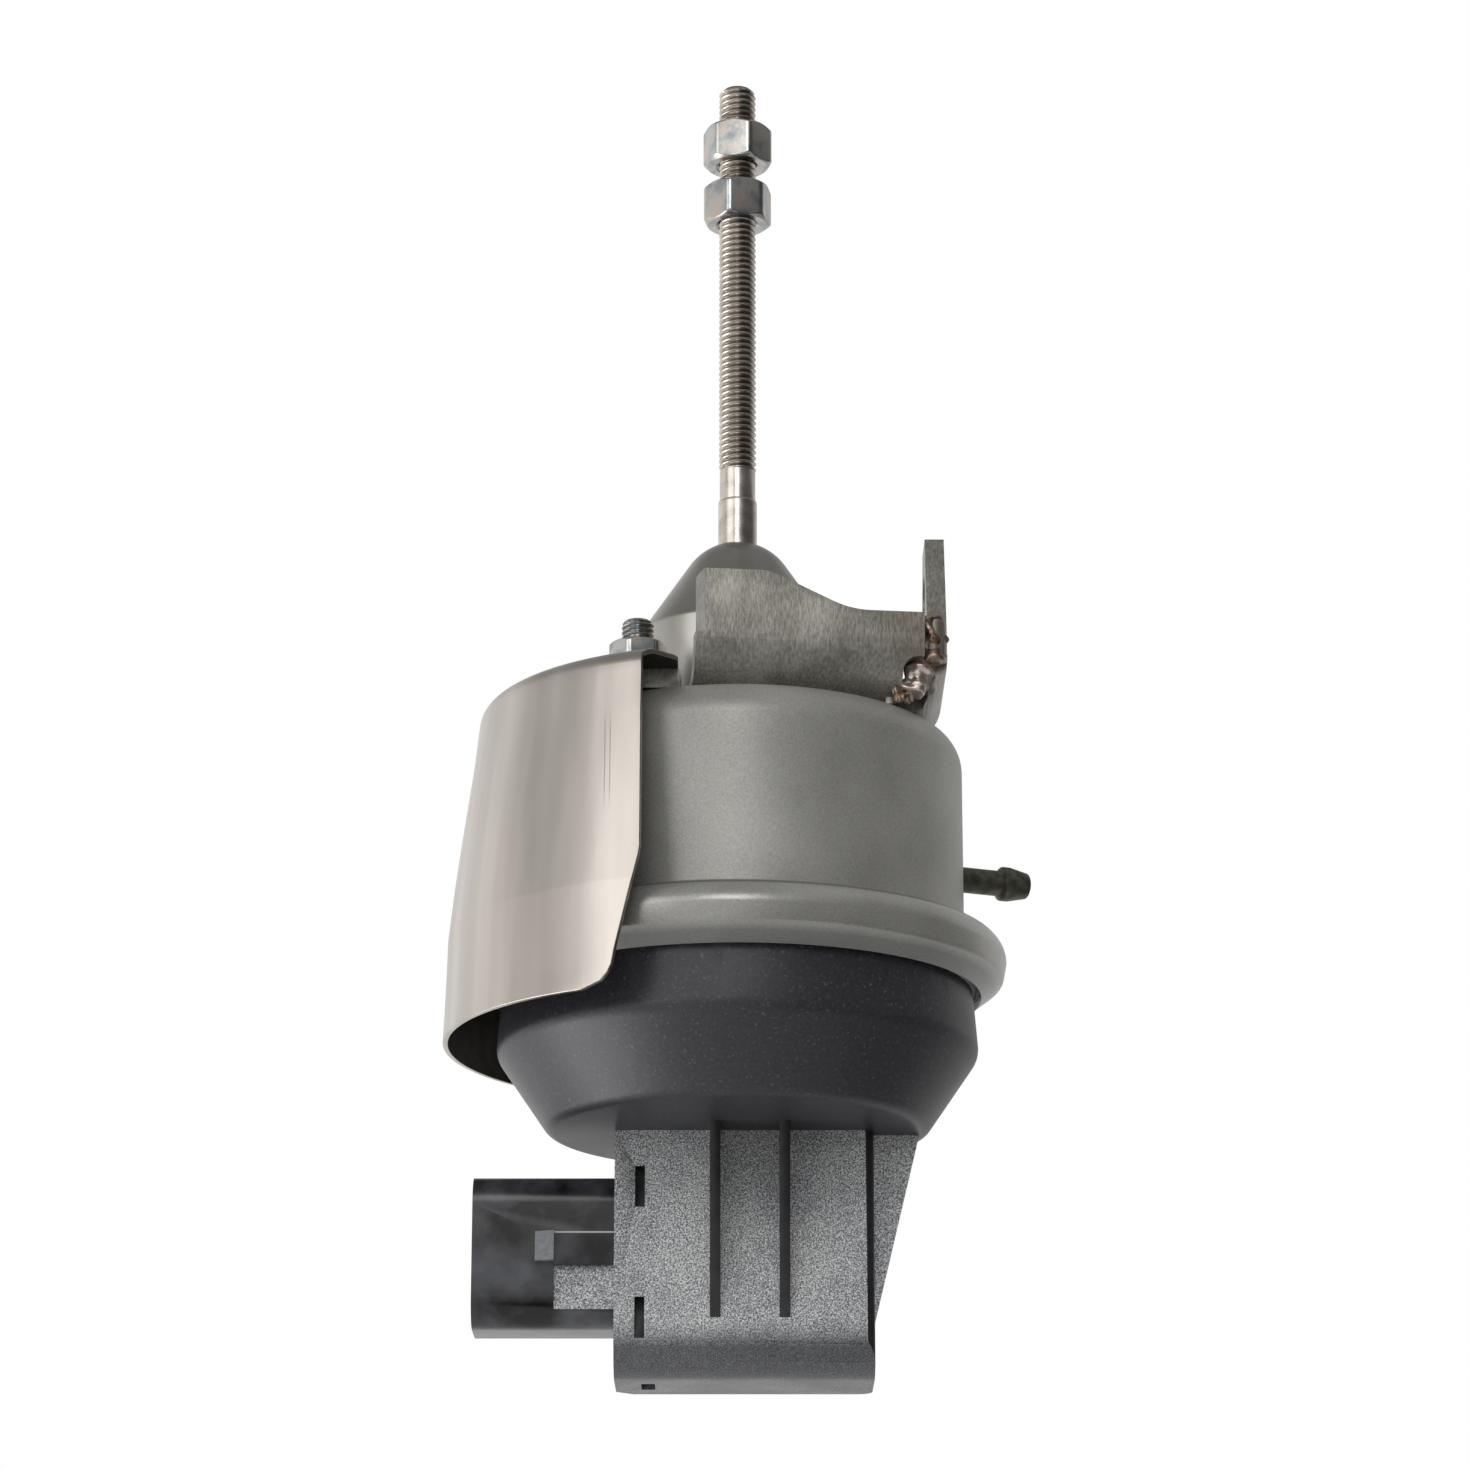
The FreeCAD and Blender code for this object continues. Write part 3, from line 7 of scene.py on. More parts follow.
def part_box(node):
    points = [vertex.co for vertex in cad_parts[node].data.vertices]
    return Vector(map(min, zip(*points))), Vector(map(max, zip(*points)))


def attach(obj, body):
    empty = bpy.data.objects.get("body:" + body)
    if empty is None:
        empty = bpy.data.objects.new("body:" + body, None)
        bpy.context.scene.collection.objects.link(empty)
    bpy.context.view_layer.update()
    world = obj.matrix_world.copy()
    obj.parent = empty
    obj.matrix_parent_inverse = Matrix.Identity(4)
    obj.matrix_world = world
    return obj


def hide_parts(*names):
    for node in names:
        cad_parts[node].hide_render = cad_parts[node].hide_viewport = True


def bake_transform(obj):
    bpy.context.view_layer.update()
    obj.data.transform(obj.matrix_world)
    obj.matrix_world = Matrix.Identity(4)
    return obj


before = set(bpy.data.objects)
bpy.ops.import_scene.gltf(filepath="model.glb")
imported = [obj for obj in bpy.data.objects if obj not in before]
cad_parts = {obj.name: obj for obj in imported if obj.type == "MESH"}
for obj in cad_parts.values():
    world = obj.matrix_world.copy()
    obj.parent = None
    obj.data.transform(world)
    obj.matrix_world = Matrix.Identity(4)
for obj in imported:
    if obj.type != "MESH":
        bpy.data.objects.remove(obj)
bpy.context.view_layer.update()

# Wastegate actuator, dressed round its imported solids. Sizes are millimetres, as a workshop
# drawing would give them, and turn to metres where a mesh or a material is made.
MM = 0.001

# Can, cone and rod: radii, and heights above or drops below the can's top

CAN_RADIUS, CAN_WALL, CAN_ROUND, CREASE_ROUND = 35.3, 1.2, 6.0, 0.15
RING_RADIUS, RING_BEND, RING_DROP = 41.8, 4.2, 36.8
RING_EDGE_RADIUS, RING_EDGE_DROP, RING_EDGE_ROUND = 41.3, 39.5, 1.2
FLANK_TILT, FLANK_LENGTH = math.radians(37.6), 4.4
BUSH_RADIUS = 7.0
DOME_TOP, DOME_NOSE, DOME_TILT, DOME_FOLD, DOME_WALL = 32.6, 9.4, math.radians(34.0), 16.9, 1.0
DOME_FIT, DOME_FOLD_ROUND = 0.25, 1.5
SHANK_RADIUS, SHANK_TOP = 3.1, 39.8
SHOULDER_START, SHOULDER_EASE, SHOULDER_WORN = 0.6, 0.25, 0.08
UNDERCUT_RADIUS, UNDERCUT_TOP = 2.85, 44.7
ROD_TIP, ROD_CHAMFER = 111.6, 0.8
ROD_PITCH, ROD_CREST, ROD_ROOT = 1.0, 3.0, 2.46
COLLAR_RADIUS, COLLAR_HEIGHT, PISTON_DROP = 6.0, 2.0, 43.4
FOOT_RADIUS, FOOT_LENGTH = 2.5, 8.0

# Nipple: its turn in degrees, radii, and lengths along its own axis

NIPPLE_TURN, NIPPLE_DROP, NIPPLE_ROOT, NIPPLE_TIP = 22.0, 19.0, 34.1, 50.0
NIPPLE_RADIUS, NIPPLE_BORE, NIPPLE_BARB_RADIUS, NIPPLE_BARB_LENGTH = 2.05, 1.2, 2.75, 5.0
NIPPLE_BARB_STEP, NIPPLE_BARB_LIP, BARB_ROUND, BARB_BACK_ROUND = 0.5, 3.2, 0.3, 1.0

# Studs, nuts and washers: each nut's seat above the can's top and its turn in degrees

STUD_X, STUD_Y, STUD_RADIUS, STUD_LENGTH, STUD_CHAMFER = 15.4, 20.0, 2.5, 13.2, 0.6
STUD_SIDES = {"front": -1, "rear": 1}
STUD_PITCH, STUD_CREST, STUD_ROOT = 0.8, 2.5, 2.06
STUD_NUT_FLATS, STUD_NUT_HEIGHT, STUD_NUT_SEAT, STUD_NUT_TURN = 8.0, 4.7, 4.85, 12.0
ROD_NUT_FLATS, ROD_NUT_HEIGHT = 10.0, 6.6
ADJUSTING_NUT_SEAT, ADJUSTING_NUT_TURN = 87.7, 15.0
LOCK_NUT_SEAT, LOCK_NUT_TURN = 98.0, -8.7
NUT_FACE_SHARE, NUT_RIM, NUT_STEEPNESS, NUT_CORNER_WEAR = 0.97, 0.15, 1.3, 0.16
NUT_BORE_CHAMFER, NUT_EDGE_EASE, NUT_EDGE_START, NUT_EDGE_END = 0.5, 0.01, 0.04, 0.16
STUD_FIT, NUT_FIT = 0.25, 0.05
WASHER_RADIUS, WASHER_THICK = 5.0, 1.0
WASHER_FOOT_ROUND, WASHER_TOP_ROUND, WASHER_BORE_ROUND = 0.15, 0.35, 0.1

# Bracket sheet, shield and strap: angles in degrees, and how far left of the rod the edge lies

SHIELD_THICK, SHEET_THICK = 0.85, 3.0
SHIELD_HOLE, SHIELD_TOP_RADIUS, SHIELD_ROUND = 20.2, 40.3, 3.0
SHIELD_WAIST_RADIUS, SHIELD_WAIST_DROP, SHIELD_WAIST_ROUND = 45.0, 33.5, 7.0
SHIELD_HEM_RADIUS, SHIELD_HEM_DROP, SHIELD_START = 45.6, 49.7, 118.0
SHIELD_EDGE_X, SHIELD_SLANT_DROP, SHIELD_SLANT, SHIELD_CORNER = 14.4, 29.0, 3.8, 5.0
TONGUE_TIP_X, TONGUE_TIP_RADIUS, TONGUE_OUTER_RADIUS = 9.0, 33.6, 40.2
STRAP_RADIUS, STRAP_START = 31.0, 42.0
WAVE_DEPTH, WAVE_FADE_TOP, WAVE_FADE_HEM, WAVE_LENGTH, WAVE_TURNS = 0.45, 6, 4, 30, 2.2
SHIELD_RUN = 1.2

# Rounding of sheared and moulded edges

SHIELD_EDGE_ROUND, BRACKET_EDGE_ROUND, HOUSING_EDGE_ROUND = 0.22, 0.28, 0.22

# Weld: where each bead starts and ends, and its radius

WELD_FOOT, WELD_HEAD, WELD_RADIUS = (30.0, -21.0, 5.6), (30.0, -21.0, 13.8), 2.0
TOE_FOOT, TOE_HEAD, TOE_RADIUS = (28.2, -20.2, 6.4), (28.2, -20.2, 12.4), 1.8
RUN_FOOT, RUN_HEAD, RUN_RADIUS = (26.7, -20.4, 0.9), (28.6, -20.4, 7.0), 2.1
DRIP_FOOT, DRIP_HEAD, DRIP_RADIUS = (23.6, -20.9, 0.6), (27.0, -20.9, 1.4), 1.2

# Springs and diaphragm

SPRING_RADIUS, SPRING_WIRE_SIZE, SPRING_TURNS = 22.0, 3.0, 5
RETURN_RADIUS, RETURN_WIRE_SIZE, RETURN_TURNS, CARRIER_Y = 2.6, 0.7, 7, 6.6
ROLL_MIDDLE = 31.6

# Plastic housing: edges of its cup, box, socket, latch ramp and slots, and the reach of its grain and of the
# painted shade over its belly

BOX_LEFT, BOX_RIGHT, BOX_FRONT, CUP_DROP, SOCKET_FRONT = 18.8, 20.9, 2.8, 63.2, 0.8
RAMP_LEFT, RAMP_WIDTH, RAMP_TOP_DROP, RAIL_HEIGHT, PAD_HEIGHT = 30.9, 2.9, 78.6, 5.1, 7.0
SLOT_FOOT, SLOT_DEPTH, SLOT_REACH, RIB_REACH, CORNER_WIDTH = 94.0, 0.3, 4.0, 0.8, 1.6
GRAIN_FADE, GRAIN_BOTTOM = 92.5, 96.5

# Painted shade and highlight, polish, scratches and heat: where each mark lies, and how far its core and its
# rim reach

CREASE_DROP, CREASE_DIRT, CREASE_CLEAN, RING_POLISH = 33.3, 0.10, 0.45, 0.6
RING_FOOT_DROP, FOOT_DIRT, GREASE_DEPTH = 39.9, 0.8, 0.30
SCRATCH_LEFT, SCRATCH_GAP, SCRATCH_MIDDLE, SCRATCH_LENGTH = 19.4, 0.8, 14.0, 17.0
SCRATCH_CORE, SCRATCH_RIM = 0.04, 0.12
WEAR_DROP, WEAR_DEPTH, WEAR_CORE, WEAR_RIM = 0.12, 0.4, 0.06, 0.20
HEAT_SPOT, HEAT_CORE, HEAT_REACH = (29.6, -21.6, 9.0), 3.0, 10.0

# Limits by which faces are told apart and joined

TOUCH, FACING, ROUND_FROM, ROUND_TO = 0.05, 0.9, 0.15, 0.98
SEAM_GAP, FLAT_ANGLE, SHARP_ANGLE = 0.0005, math.radians(0.4), math.radians(35)
DRESSED_ANGLE = math.radians(32)


# Colours and material nodes

def linear(code):
    """An sRGB hex colour as linear red, green, blue and a full alpha."""
    parts = [int(code[place:place + 2], 16) / 255 for place in (1, 3, 5)]
    return [part / 12.92 if part <= 0.04045 else ((part + 0.055) / 1.055) ** 2.4 for part in parts] + [1.0]


def node(tree, kind, inputs=None, **settings):
    """Adds a node with its settings, and links or sets its inputs."""
    made = tree.nodes.new(kind)
    for name, value in settings.items():
        setattr(made, name, value)
    for name, value in (inputs or {}).items():
        if isinstance(value, bpy.types.NodeSocket):
            tree.links.new(value, made.inputs[name])
        else:
            made.inputs[name].default_value = value
    return made


def new_material(name, **sockets):
    """A material with its main shader's constant sockets set: the material, its tree and the
    object coordinates, which are metres in the part's own frame."""
    material = bpy.data.materials.new(name)
    material.use_nodes = True
    tree = material.node_tree
    for socket, value in sockets.items():
        tree.nodes["Principled BSDF"].inputs[socket.replace("_", " ")].default_value = value
    return material, tree, node(tree, "ShaderNodeTexCoord").outputs["Object"]


def finished(material, **sockets):
    """The material, with what its nodes make linked to its main shader's sockets."""
    shader = material.node_tree.nodes["Principled BSDF"]
    for socket, value in sockets.items():
        material.node_tree.links.new(value, shader.inputs[socket.replace("_", " ")])
    return material


def pattern(tree, place, size, detail, roughness=0.5):
    """Soft noise from 0 to 1, with cells of about that many millimetres."""
    inputs = {"Vector": place, "Scale": 1 / (size * MM), "Detail": detail, "Roughness": roughness}
    return node(tree, "ShaderNodeTexNoise", inputs).outputs["Fac"]


def stretched(tree, place, scale):
    """The coordinates scaled along each axis, so that a small scale draws a pattern out."""
    return node(tree, "ShaderNodeMapping", {"Vector": place, "Scale": scale}).outputs[0]


def axes(tree, place):
    """The X, Y and Z of a place, each under its letter."""
    return node(tree, "ShaderNodeSeparateXYZ", {"Vector": place}).outputs


def calc(tree, operation, *values):
    """One step of arithmetic on one or two values."""
    return node(tree, "ShaderNodeMath", dict(enumerate(values)), operation=operation).outputs[0]


def vector_calc(tree, operation, first, second, result="Vector"):
    """One step of arithmetic on two vectors."""
    return node(tree, "ShaderNodeVectorMath", {0: first, 1: second}, operation=operation).outputs[result]


def carried(tree, value, low, high, first=0.0, last=1.0):
    """A value carried from the range between first and last to the one between low and high."""
    inputs = {"Value": value, "From Min": first, "From Max": last, "To Min": low, "To Max": high}
    return node(tree, "ShaderNodeMapRange", inputs).outputs["Result"]


def near(tree, length, middle, close, far, most=1.0):
    """How near a length is to a middle: the most as far as close, and nothing from far on. The
    middle, close and far are millimetres."""
    off = calc(tree, "ABSOLUTE", calc(tree, "SUBTRACT", length, middle * MM))
    return carried(tree, off, most, 0.0, close * MM, far * MM)


def tones(tree, value, *stops):
    """The colour at a value between 0 and 1 of a ramp of (position, hex colour) stops."""
    made = node(tree, "ShaderNodeValToRGB", {"Fac": value})
    ramp = made.color_ramp
    while len(ramp.elements) < len(stops):
        ramp.elements.new(1.0)
    for element, (position, code) in zip(ramp.elements, stops):
        element.position = position
        element.color = linear(code)
    return made.outputs["Color"]


def laid_over(tree, share, colour, upper, blend="MIX"):
    """A colour with a share of an upper one laid over it."""
    inputs = {"Factor": share, 6: colour, 7: upper}
    return node(tree, "ShaderNodeMix", inputs, data_type="RGBA", blend_type=blend).outputs[2]


def relief(tree, height, strength, depth, **under):
    """A normal bent by a height of that many millimetres, over the Normal given."""
    inputs = {"Height": height, "Strength": strength, "Distance": depth * MM, **under}
    return node(tree, "ShaderNodeBump", inputs).outputs["Normal"]


def passivated_steel():
    """Drawn can, tumbled and passivated: an even warm grey satin with a fine speckle and faint
    cloudy patches where the film is thicker. The roller left the ring brighter, and painted shade
    darkens the crease above it and the flank under its foot."""
    material, tree, place = new_material("passivated_steel", Metallic=0.5)
    speckle = pattern(tree, place, 0.3, 3.0)
    cloud = pattern(tree, place, 16, 2.0)
    mean = calc(tree, "MULTIPLY", calc(tree, "ADD", speckle, cloud), 0.5)
    colour = tones(tree, mean, (0.30, "#91908B"), (0.50, "#A4A39E"), (0.70, "#B7B6B1"))
    height = axes(tree, place)["Z"]
    # painted shade: the crease above the ring and the flank under its foot are darkened grey
    crease = near(tree, height, -CREASE_DROP, CREASE_DIRT, CREASE_CLEAN, 0.75)
    foot = carried(tree, height, 0.55, 0.0, -(RING_FOOT_DROP + FOOT_DIRT) * MM, -RING_FOOT_DROP * MM)
    dirty = laid_over(tree, calc(tree, "MAXIMUM", crease, foot), colour, linear("#5A5B5E"))
    rolled = carried(tree, height, 0.16, 0.0, -(CREASE_DROP + RING_POLISH) * MM, -CREASE_DROP * MM)
    rough = calc(tree, "SUBTRACT", carried(tree, cloud, 0.38, 0.50), rolled)
    return finished(material, Base_Color=dirty, Roughness=rough, Normal=relief(tree, speckle, 0.12, 0.2))


def rolled_stainless():
    """Cold-rolled stainless sheet: bright and warm, with soft upright bands left by the press,
    fine rolling lines and two thin upright scratches near its front edge."""
    material, tree, place = new_material("rolled_stainless", Metallic=1.0)
    tall = stretched(tree, place, (1.0, 1.0, 0.06))
    bands = pattern(tree, tall, 9, 2.0)
    lines = pattern(tree, tall, 0.5, 2.0)
    smear = pattern(tree, place, 22, 3.0)
    colour = tones(tree, bands, (0.32, "#A59E97"), (0.50, "#B6AFA8"), (0.68, "#C6BFB8"))
    waves = relief(tree, bands, 0.25, 0.6)
    spot = axes(tree, place)
    either = calc(tree, "ABSOLUTE", calc(tree, "ADD", spot["X"], SCRATCH_LEFT * MM))
    thin = near(tree, either, SCRATCH_GAP / 2, SCRATCH_CORE, SCRATCH_RIM, 0.55)
    fade = near(tree, spot["Z"], -SCRATCH_MIDDLE, SCRATCH_LENGTH / 4, SCRATCH_LENGTH / 2)
    marked = laid_over(tree, calc(tree, "MULTIPLY", thin, fade), colour, linear("#6E6862"))
    return finished(material, Base_Color=marked, Roughness=carried(tree, smear, 0.24, 0.40),
                    Normal=relief(tree, lines, 0.06, 0.1, Normal=waves))


def polished_steel():
    """Pressed cone, polished on a lathe: a close satin with faint rings round its axis."""
    material, tree, place = new_material("polished_steel", Metallic=1.0)
    rings = pattern(tree, stretched(tree, place, (0.05, 0.05, 1.0)), 0.5, 2.0)
    stain = pattern(tree, place, 9, 3.0)
    return finished(material, Base_Color=tones(tree, stain, (0.35, "#9B9892"), (0.65, "#AFACA6")),
                    Roughness=carried(tree, stain, 0.26, 0.38), Normal=relief(tree, rings, 0.08, 0.1))


def pickled_steel():
    """Bracket sheet, hot-rolled and pickled: matt grey with a fine upright grain, and a brown
    heat tint towards the welded corner at its right."""
    material, tree, place = new_material("pickled_steel", Metallic=0.55)
    grain = pattern(tree, stretched(tree, place, (1.0, 1.0, 0.30)), 0.35, 4.0)
    patch = pattern(tree, place, 7, 2.0)
    mean = calc(tree, "MULTIPLY", calc(tree, "ADD", grain, patch), 0.5)
    colour = tones(tree, mean, (0.36, "#726F68"), (0.50, "#8E8B83"), (0.64, "#ABA8A0"))
    away = vector_calc(tree, "DISTANCE", place, tuple(Vector(HEAT_SPOT) * MM), "Value")
    heat = near(tree, away, 0.0, HEAT_CORE, HEAT_REACH, 0.75)
    tinted = laid_over(tree, calc(tree, "MULTIPLY", heat, patch), colour, linear("#5A4634"))
    return finished(material, Base_Color=tinted, Roughness=carried(tree, grain, 0.28, 0.46),
                    Normal=relief(tree, mean, 0.25, 0.3))


def zinc_plate():
    """Bright zinc plate on nuts, studs and washers: a cool shine with faint blue and straw
    patches from its passivation."""
    material, tree, place = new_material("zinc_plate", Metallic=1.0)
    patch = pattern(tree, place, 3, 3.0)
    colour = tones(tree, patch, (0.36, "#9C9FA1"), (0.50, "#BAB9B5"), (0.64, "#C4B8AE"))
    return finished(material, Base_Color=colour, Roughness=carried(tree, patch, 0.16, 0.30),
                    Normal=relief(tree, pattern(tree, place, 0.8, 2.0), 0.10, 0.1))


def rolled_thread_steel():
    """Stainless rod with a rolled thread: bright crests, and roots darkened brown with painted shade."""
    material, tree, place = new_material("rolled_thread_steel", Metallic=1.0)
    patch = pattern(tree, place, 2.5, 3.0)
    colour = tones(tree, patch, (0.36, "#B4ADA6"), (0.64, "#D0C9C2"))
    across = vector_calc(tree, "MULTIPLY", place, (1.0, 1.0, 0.0))
    radius = vector_calc(tree, "DISTANCE", across, (0.0, 0.0, 0.0), "Value")
    # painted shade: the thread's roots darken towards their bottom
    clean = carried(tree, radius, 0.0, 1.0, ROD_ROOT * MM, (ROD_ROOT + GREASE_DEPTH) * MM)
    greased = laid_over(tree, clean, linear("#766E64"), colour)
    return finished(material, Base_Color=greased, Roughness=carried(tree, patch, 0.20, 0.34))


def smooth_nylon():
    """Glass-filled nylon from a fine-ground mould: charcoal, with a soft sheen, tiny pale flecks
    of dust and a faint flow pattern."""
    material, tree, place = new_material("smooth_nylon", IOR=1.53)
    fleck = pattern(tree, place, 0.5, 3.0, 0.6)
    flow = pattern(tree, place, 14, 3.0)
    colour = tones(tree, fleck, (0.30, "#26262B"), (0.62, "#323238"), (0.74, "#5E5E66"))
    return finished(material, Base_Color=colour, Roughness=carried(tree, flow, 0.36, 0.48),
                    Normal=relief(tree, fleck, 0.15, 0.2))


def spark_textured_nylon():
    """The same nylon from a spark-eroded mould: a grain of pits and bumps whose pale tips are partly
    glass fibre and partly painted glints, paler patches of painted sheen, and a painted shade that
    darkens it and hides its grain towards the belly."""
    material, tree, place = new_material("spark_textured_nylon", IOR=1.53)
    grain = pattern(tree, place, 0.23, 2.0, 0.6)
    worn = pattern(tree, place, 9, 3.0)
    # the grain's pale tips: partly glass fibre, partly painted glints
    colour = tones(tree, grain, (0.34, "#4A4B4F"), (0.50, "#9A9CA0"), (0.66, "#F0F2F4"))
    # painted sheen: paler patches laid over the grain
    rubbed = carried(tree, worn, 0.0, 0.55, 0.38, 0.62)
    patched = laid_over(tree, rubbed, colour, linear("#E2E1DC"), "OVERLAY")
    # painted shade: the grain gives way to a darker grey towards the belly
    ground = carried(tree, axes(tree, place)["Z"], 0.86, 0.0, -GRAIN_BOTTOM * MM, -GRAIN_FADE * MM)
    return finished(material, Base_Color=laid_over(tree, ground, patched, linear("#404146")),
                    Roughness=carried(tree, worn, 0.26, 0.42, 0.3, 0.7), Normal=relief(tree, grain, 0.7, 0.3))


def polished_mould_nylon():
    """The socket's nylon from a polished mould: glossy and clouded, with a painted highlight along
    the upper edge of the latch rail."""
    material, tree, place = new_material("polished_mould_nylon", IOR=1.53, Roughness=0.27)
    cloud = pattern(tree, place, 8, 4.0)
    colour = tones(tree, cloud, (0.40, "#0E0E10"), (0.66, "#4E4F55"))
    spot = axes(tree, place)
    # painted highlight: a pale line along the rail's upper edge
    line = near(tree, spot["Z"], -(RAMP_TOP_DROP + WEAR_DROP), WEAR_CORE, WEAR_RIM, 0.9)
    proud = calc(tree, "LESS_THAN", spot["Y"], -(SOCKET_FRONT + WEAR_DEPTH) * MM)
    beside = calc(tree, "GREATER_THAN", spot["X"], -(RAMP_LEFT - RAMP_WIDTH) * MM)
    wear = calc(tree, "MULTIPLY", line, calc(tree, "MULTIPLY", proud, beside))
    return finished(material, Base_Color=laid_over(tree, wear, colour, linear("#C4C6C8")),
                    Normal=relief(tree, cloud, 0.2, 0.4))


def plain_finish(name, dark, light, grain, metallic, roughness):
    """A plain material of two tones over a grain of that many millimetres."""
    material, tree, place = new_material(name, Metallic=metallic, Roughness=roughness)
    patch = pattern(tree, place, grain, 3.0)
    return finished(material, Base_Color=tones(tree, patch, (0.35, dark), (0.65, light)),
                    Normal=relief(tree, patch, 0.15, 0.2))


def olive_plated_steel():
    """Nipple, brazed and dark plated: a dull olive film over steel."""
    material, tree, place = new_material("olive_plated_steel", Metallic=0.7, Roughness=0.48)
    patch = pattern(tree, place, 1.5, 4.0)
    return finished(material, Base_Color=tones(tree, patch, (0.36, "#4A4940"), (0.64, "#6A6A5E")),
                    Normal=relief(tree, patch, 0.3, 0.2))


def welded_steel():
    """The weld's bead: coarse, rippled metal, burnt brown and blue in patches."""
    material, tree, place = new_material("welded_steel", Metallic=0.85, Roughness=0.36)
    patch = pattern(tree, place, 1.6, 4.0)
    colour = tones(tree, patch, (0.34, "#4A372C"), (0.48, "#8A7564"), (0.60, "#B0A49A"), (0.70, "#7D8088"))
    return finished(material, Base_Color=colour, Normal=relief(tree, patch, 0.5, 0.4))


CAN_STEEL = passivated_steel()
WELD_STEEL = welded_steel()
SHIELD_STEEL = rolled_stainless()
DOME_STEEL = polished_steel()
BRACKET_STEEL = pickled_steel()
ZINC = zinc_plate()
ROD_STEEL = rolled_thread_steel()
NIPPLE_STEEL = olive_plated_steel()
CUP_NYLON = smooth_nylon()
BOX_NYLON = spark_textured_nylon()
SOCKET_NYLON = polished_mould_nylon()
# painted shade: dark nylon for the rib edges, slots and rounded corner
EDGE_NYLON = plain_finish("painted_shade_nylon", "#1C1C1F", "#28282B", 2.0, 0.0, 0.36)
RAMP_NYLON = plain_finish("scuffed_latch_nylon", "#6A6C70", "#7C7E82", 0.6, 0.0, 0.45)
# painted shade: dark dull steel for the shield's inside
SCALED_STEEL = plain_finish("shaded_inside_stainless", "#35312D", "#4B4640", 3.0, 0.9, 0.55)
DROP_STEEL = plain_finish("run_weld_metal", "#B8A296", "#E6DDD7", 0.8, 0.9, 0.3)
RUBBER = plain_finish("moulded_rubber", "#141414", "#202020", 1.2, 0.0, 0.6)
SPRING_WIRE = plain_finish("oiled_spring_wire", "#4A4A4E", "#66666A", 2.0, 1.0, 0.35)
BRONZE = plain_finish("sintered_bronze", "#8A6A3A", "#A88650", 0.5, 1.0, 0.5)
SLIDER_PLASTIC = plain_finish("natural_acetal", "#DAD6CA", "#E4E0D6", 3.0, 0.0, 0.4)
MAGNET_STEEL = plain_finish("sintered_magnet", "#3A3A3E", "#4C4C50", 0.4, 0.8, 0.5)
BOARD_LACQUER = plain_finish("green_board_lacquer", "#15402A", "#1E5236", 2.0, 0.0, 0.25)
CHIP_RESIN = plain_finish("black_chip_resin", "#111112", "#1A1A1B", 0.3, 0.0, 0.5)
PIN_BRASS = plain_finish("tinned_brass", "#B9AE93", "#CFC6AE", 1.0, 1.0, 0.3)

NODE_FINISH = {
    "canister": CAN_STEEL, "sensor_housing": BOX_NYLON, "housing_lid": BOX_NYLON,
    "terminal_upper": PIN_BRASS, "terminal_middle": PIN_BRASS, "terminal_lower": PIN_BRASS,
    "circuit_board": BOARD_LACQUER, "hall_sensor": CHIP_RESIN, "diaphragm": RUBBER,
    "main_spring": SPRING_WIRE, "return_spring": SPRING_WIRE, "spring_seat": SPRING_WIRE,
    "dome": DOME_STEEL, "guide_bush": BRONZE, "rod_seal": RUBBER, "stud_front": ZINC, "stud_rear": ZINC,
    "washer_front": ZINC, "washer_rear": ZINC, "stud_nut_front": ZINC, "stud_nut_rear": ZINC,
    "bracket": BRACKET_STEEL, "heat_shield": SHIELD_STEEL, "vacuum_nipple": NIPPLE_STEEL,
    "push_rod": ROD_STEEL, "piston": SPRING_WIRE, "backing_plate": SPRING_WIRE, "clamp_nut": ZINC,
    "adjusting_nut": ZINC, "lock_nut": ZINC, "magnet_carrier": SLIDER_PLASTIC, "magnet": MAGNET_STEEL,
}
for name, finish in NODE_FINISH.items():
    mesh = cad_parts[name].data
    mesh.materials.clear()
    mesh.materials.append(finish)


# Camera, light and floor, in metres

CAMERA_DISTANCE, CAMERA_BELOW = 0.711, math.radians(16.5)
CAMERA_TARGET = Vector((0.0, 0.0, 0.00085))
PHOTO_SIDE, PHOTO_FOCAL, PHOTO_AXIS_X = 1470, 4500, 737.5
SENSOR = 36.0
TO_WHITE_WALL, TO_DOORWAY = (-0.75, 0.65, -0.10), (0.90, -0.38, -0.20)
FLOOR_SIDE, FLOOR_DROP = 1.4, 0.8


def add_object(name, data):
    """Adds an object for a mesh, a lamp or a camera to the scene."""
    thing = bpy.data.objects.new(name, data)
    bpy.context.scene.collection.objects.link(thing)
    return thing


def make_camera():
    """A long lens a little below the part, looking up at it, as the photograph was taken."""
    lens = bpy.data.cameras.new("photo_lens")
    lens.sensor_width = SENSOR
    lens.lens = SENSOR * PHOTO_FOCAL / PHOTO_SIDE
    lens.shift_x = (PHOTO_SIDE / 2 - PHOTO_AXIS_X) / PHOTO_SIDE
    lens.clip_start, lens.clip_end = 0.01, 20.0
    camera = add_object("camera", lens)
    back = Vector((0.0, -math.cos(CAMERA_BELOW), -math.sin(CAMERA_BELOW)))
    camera.location = CAMERA_TARGET + back * CAMERA_DISTANCE
    camera.rotation_euler = (math.pi / 2 + CAMERA_BELOW, 0.0, 0.0)
    bpy.context.scene.camera = camera


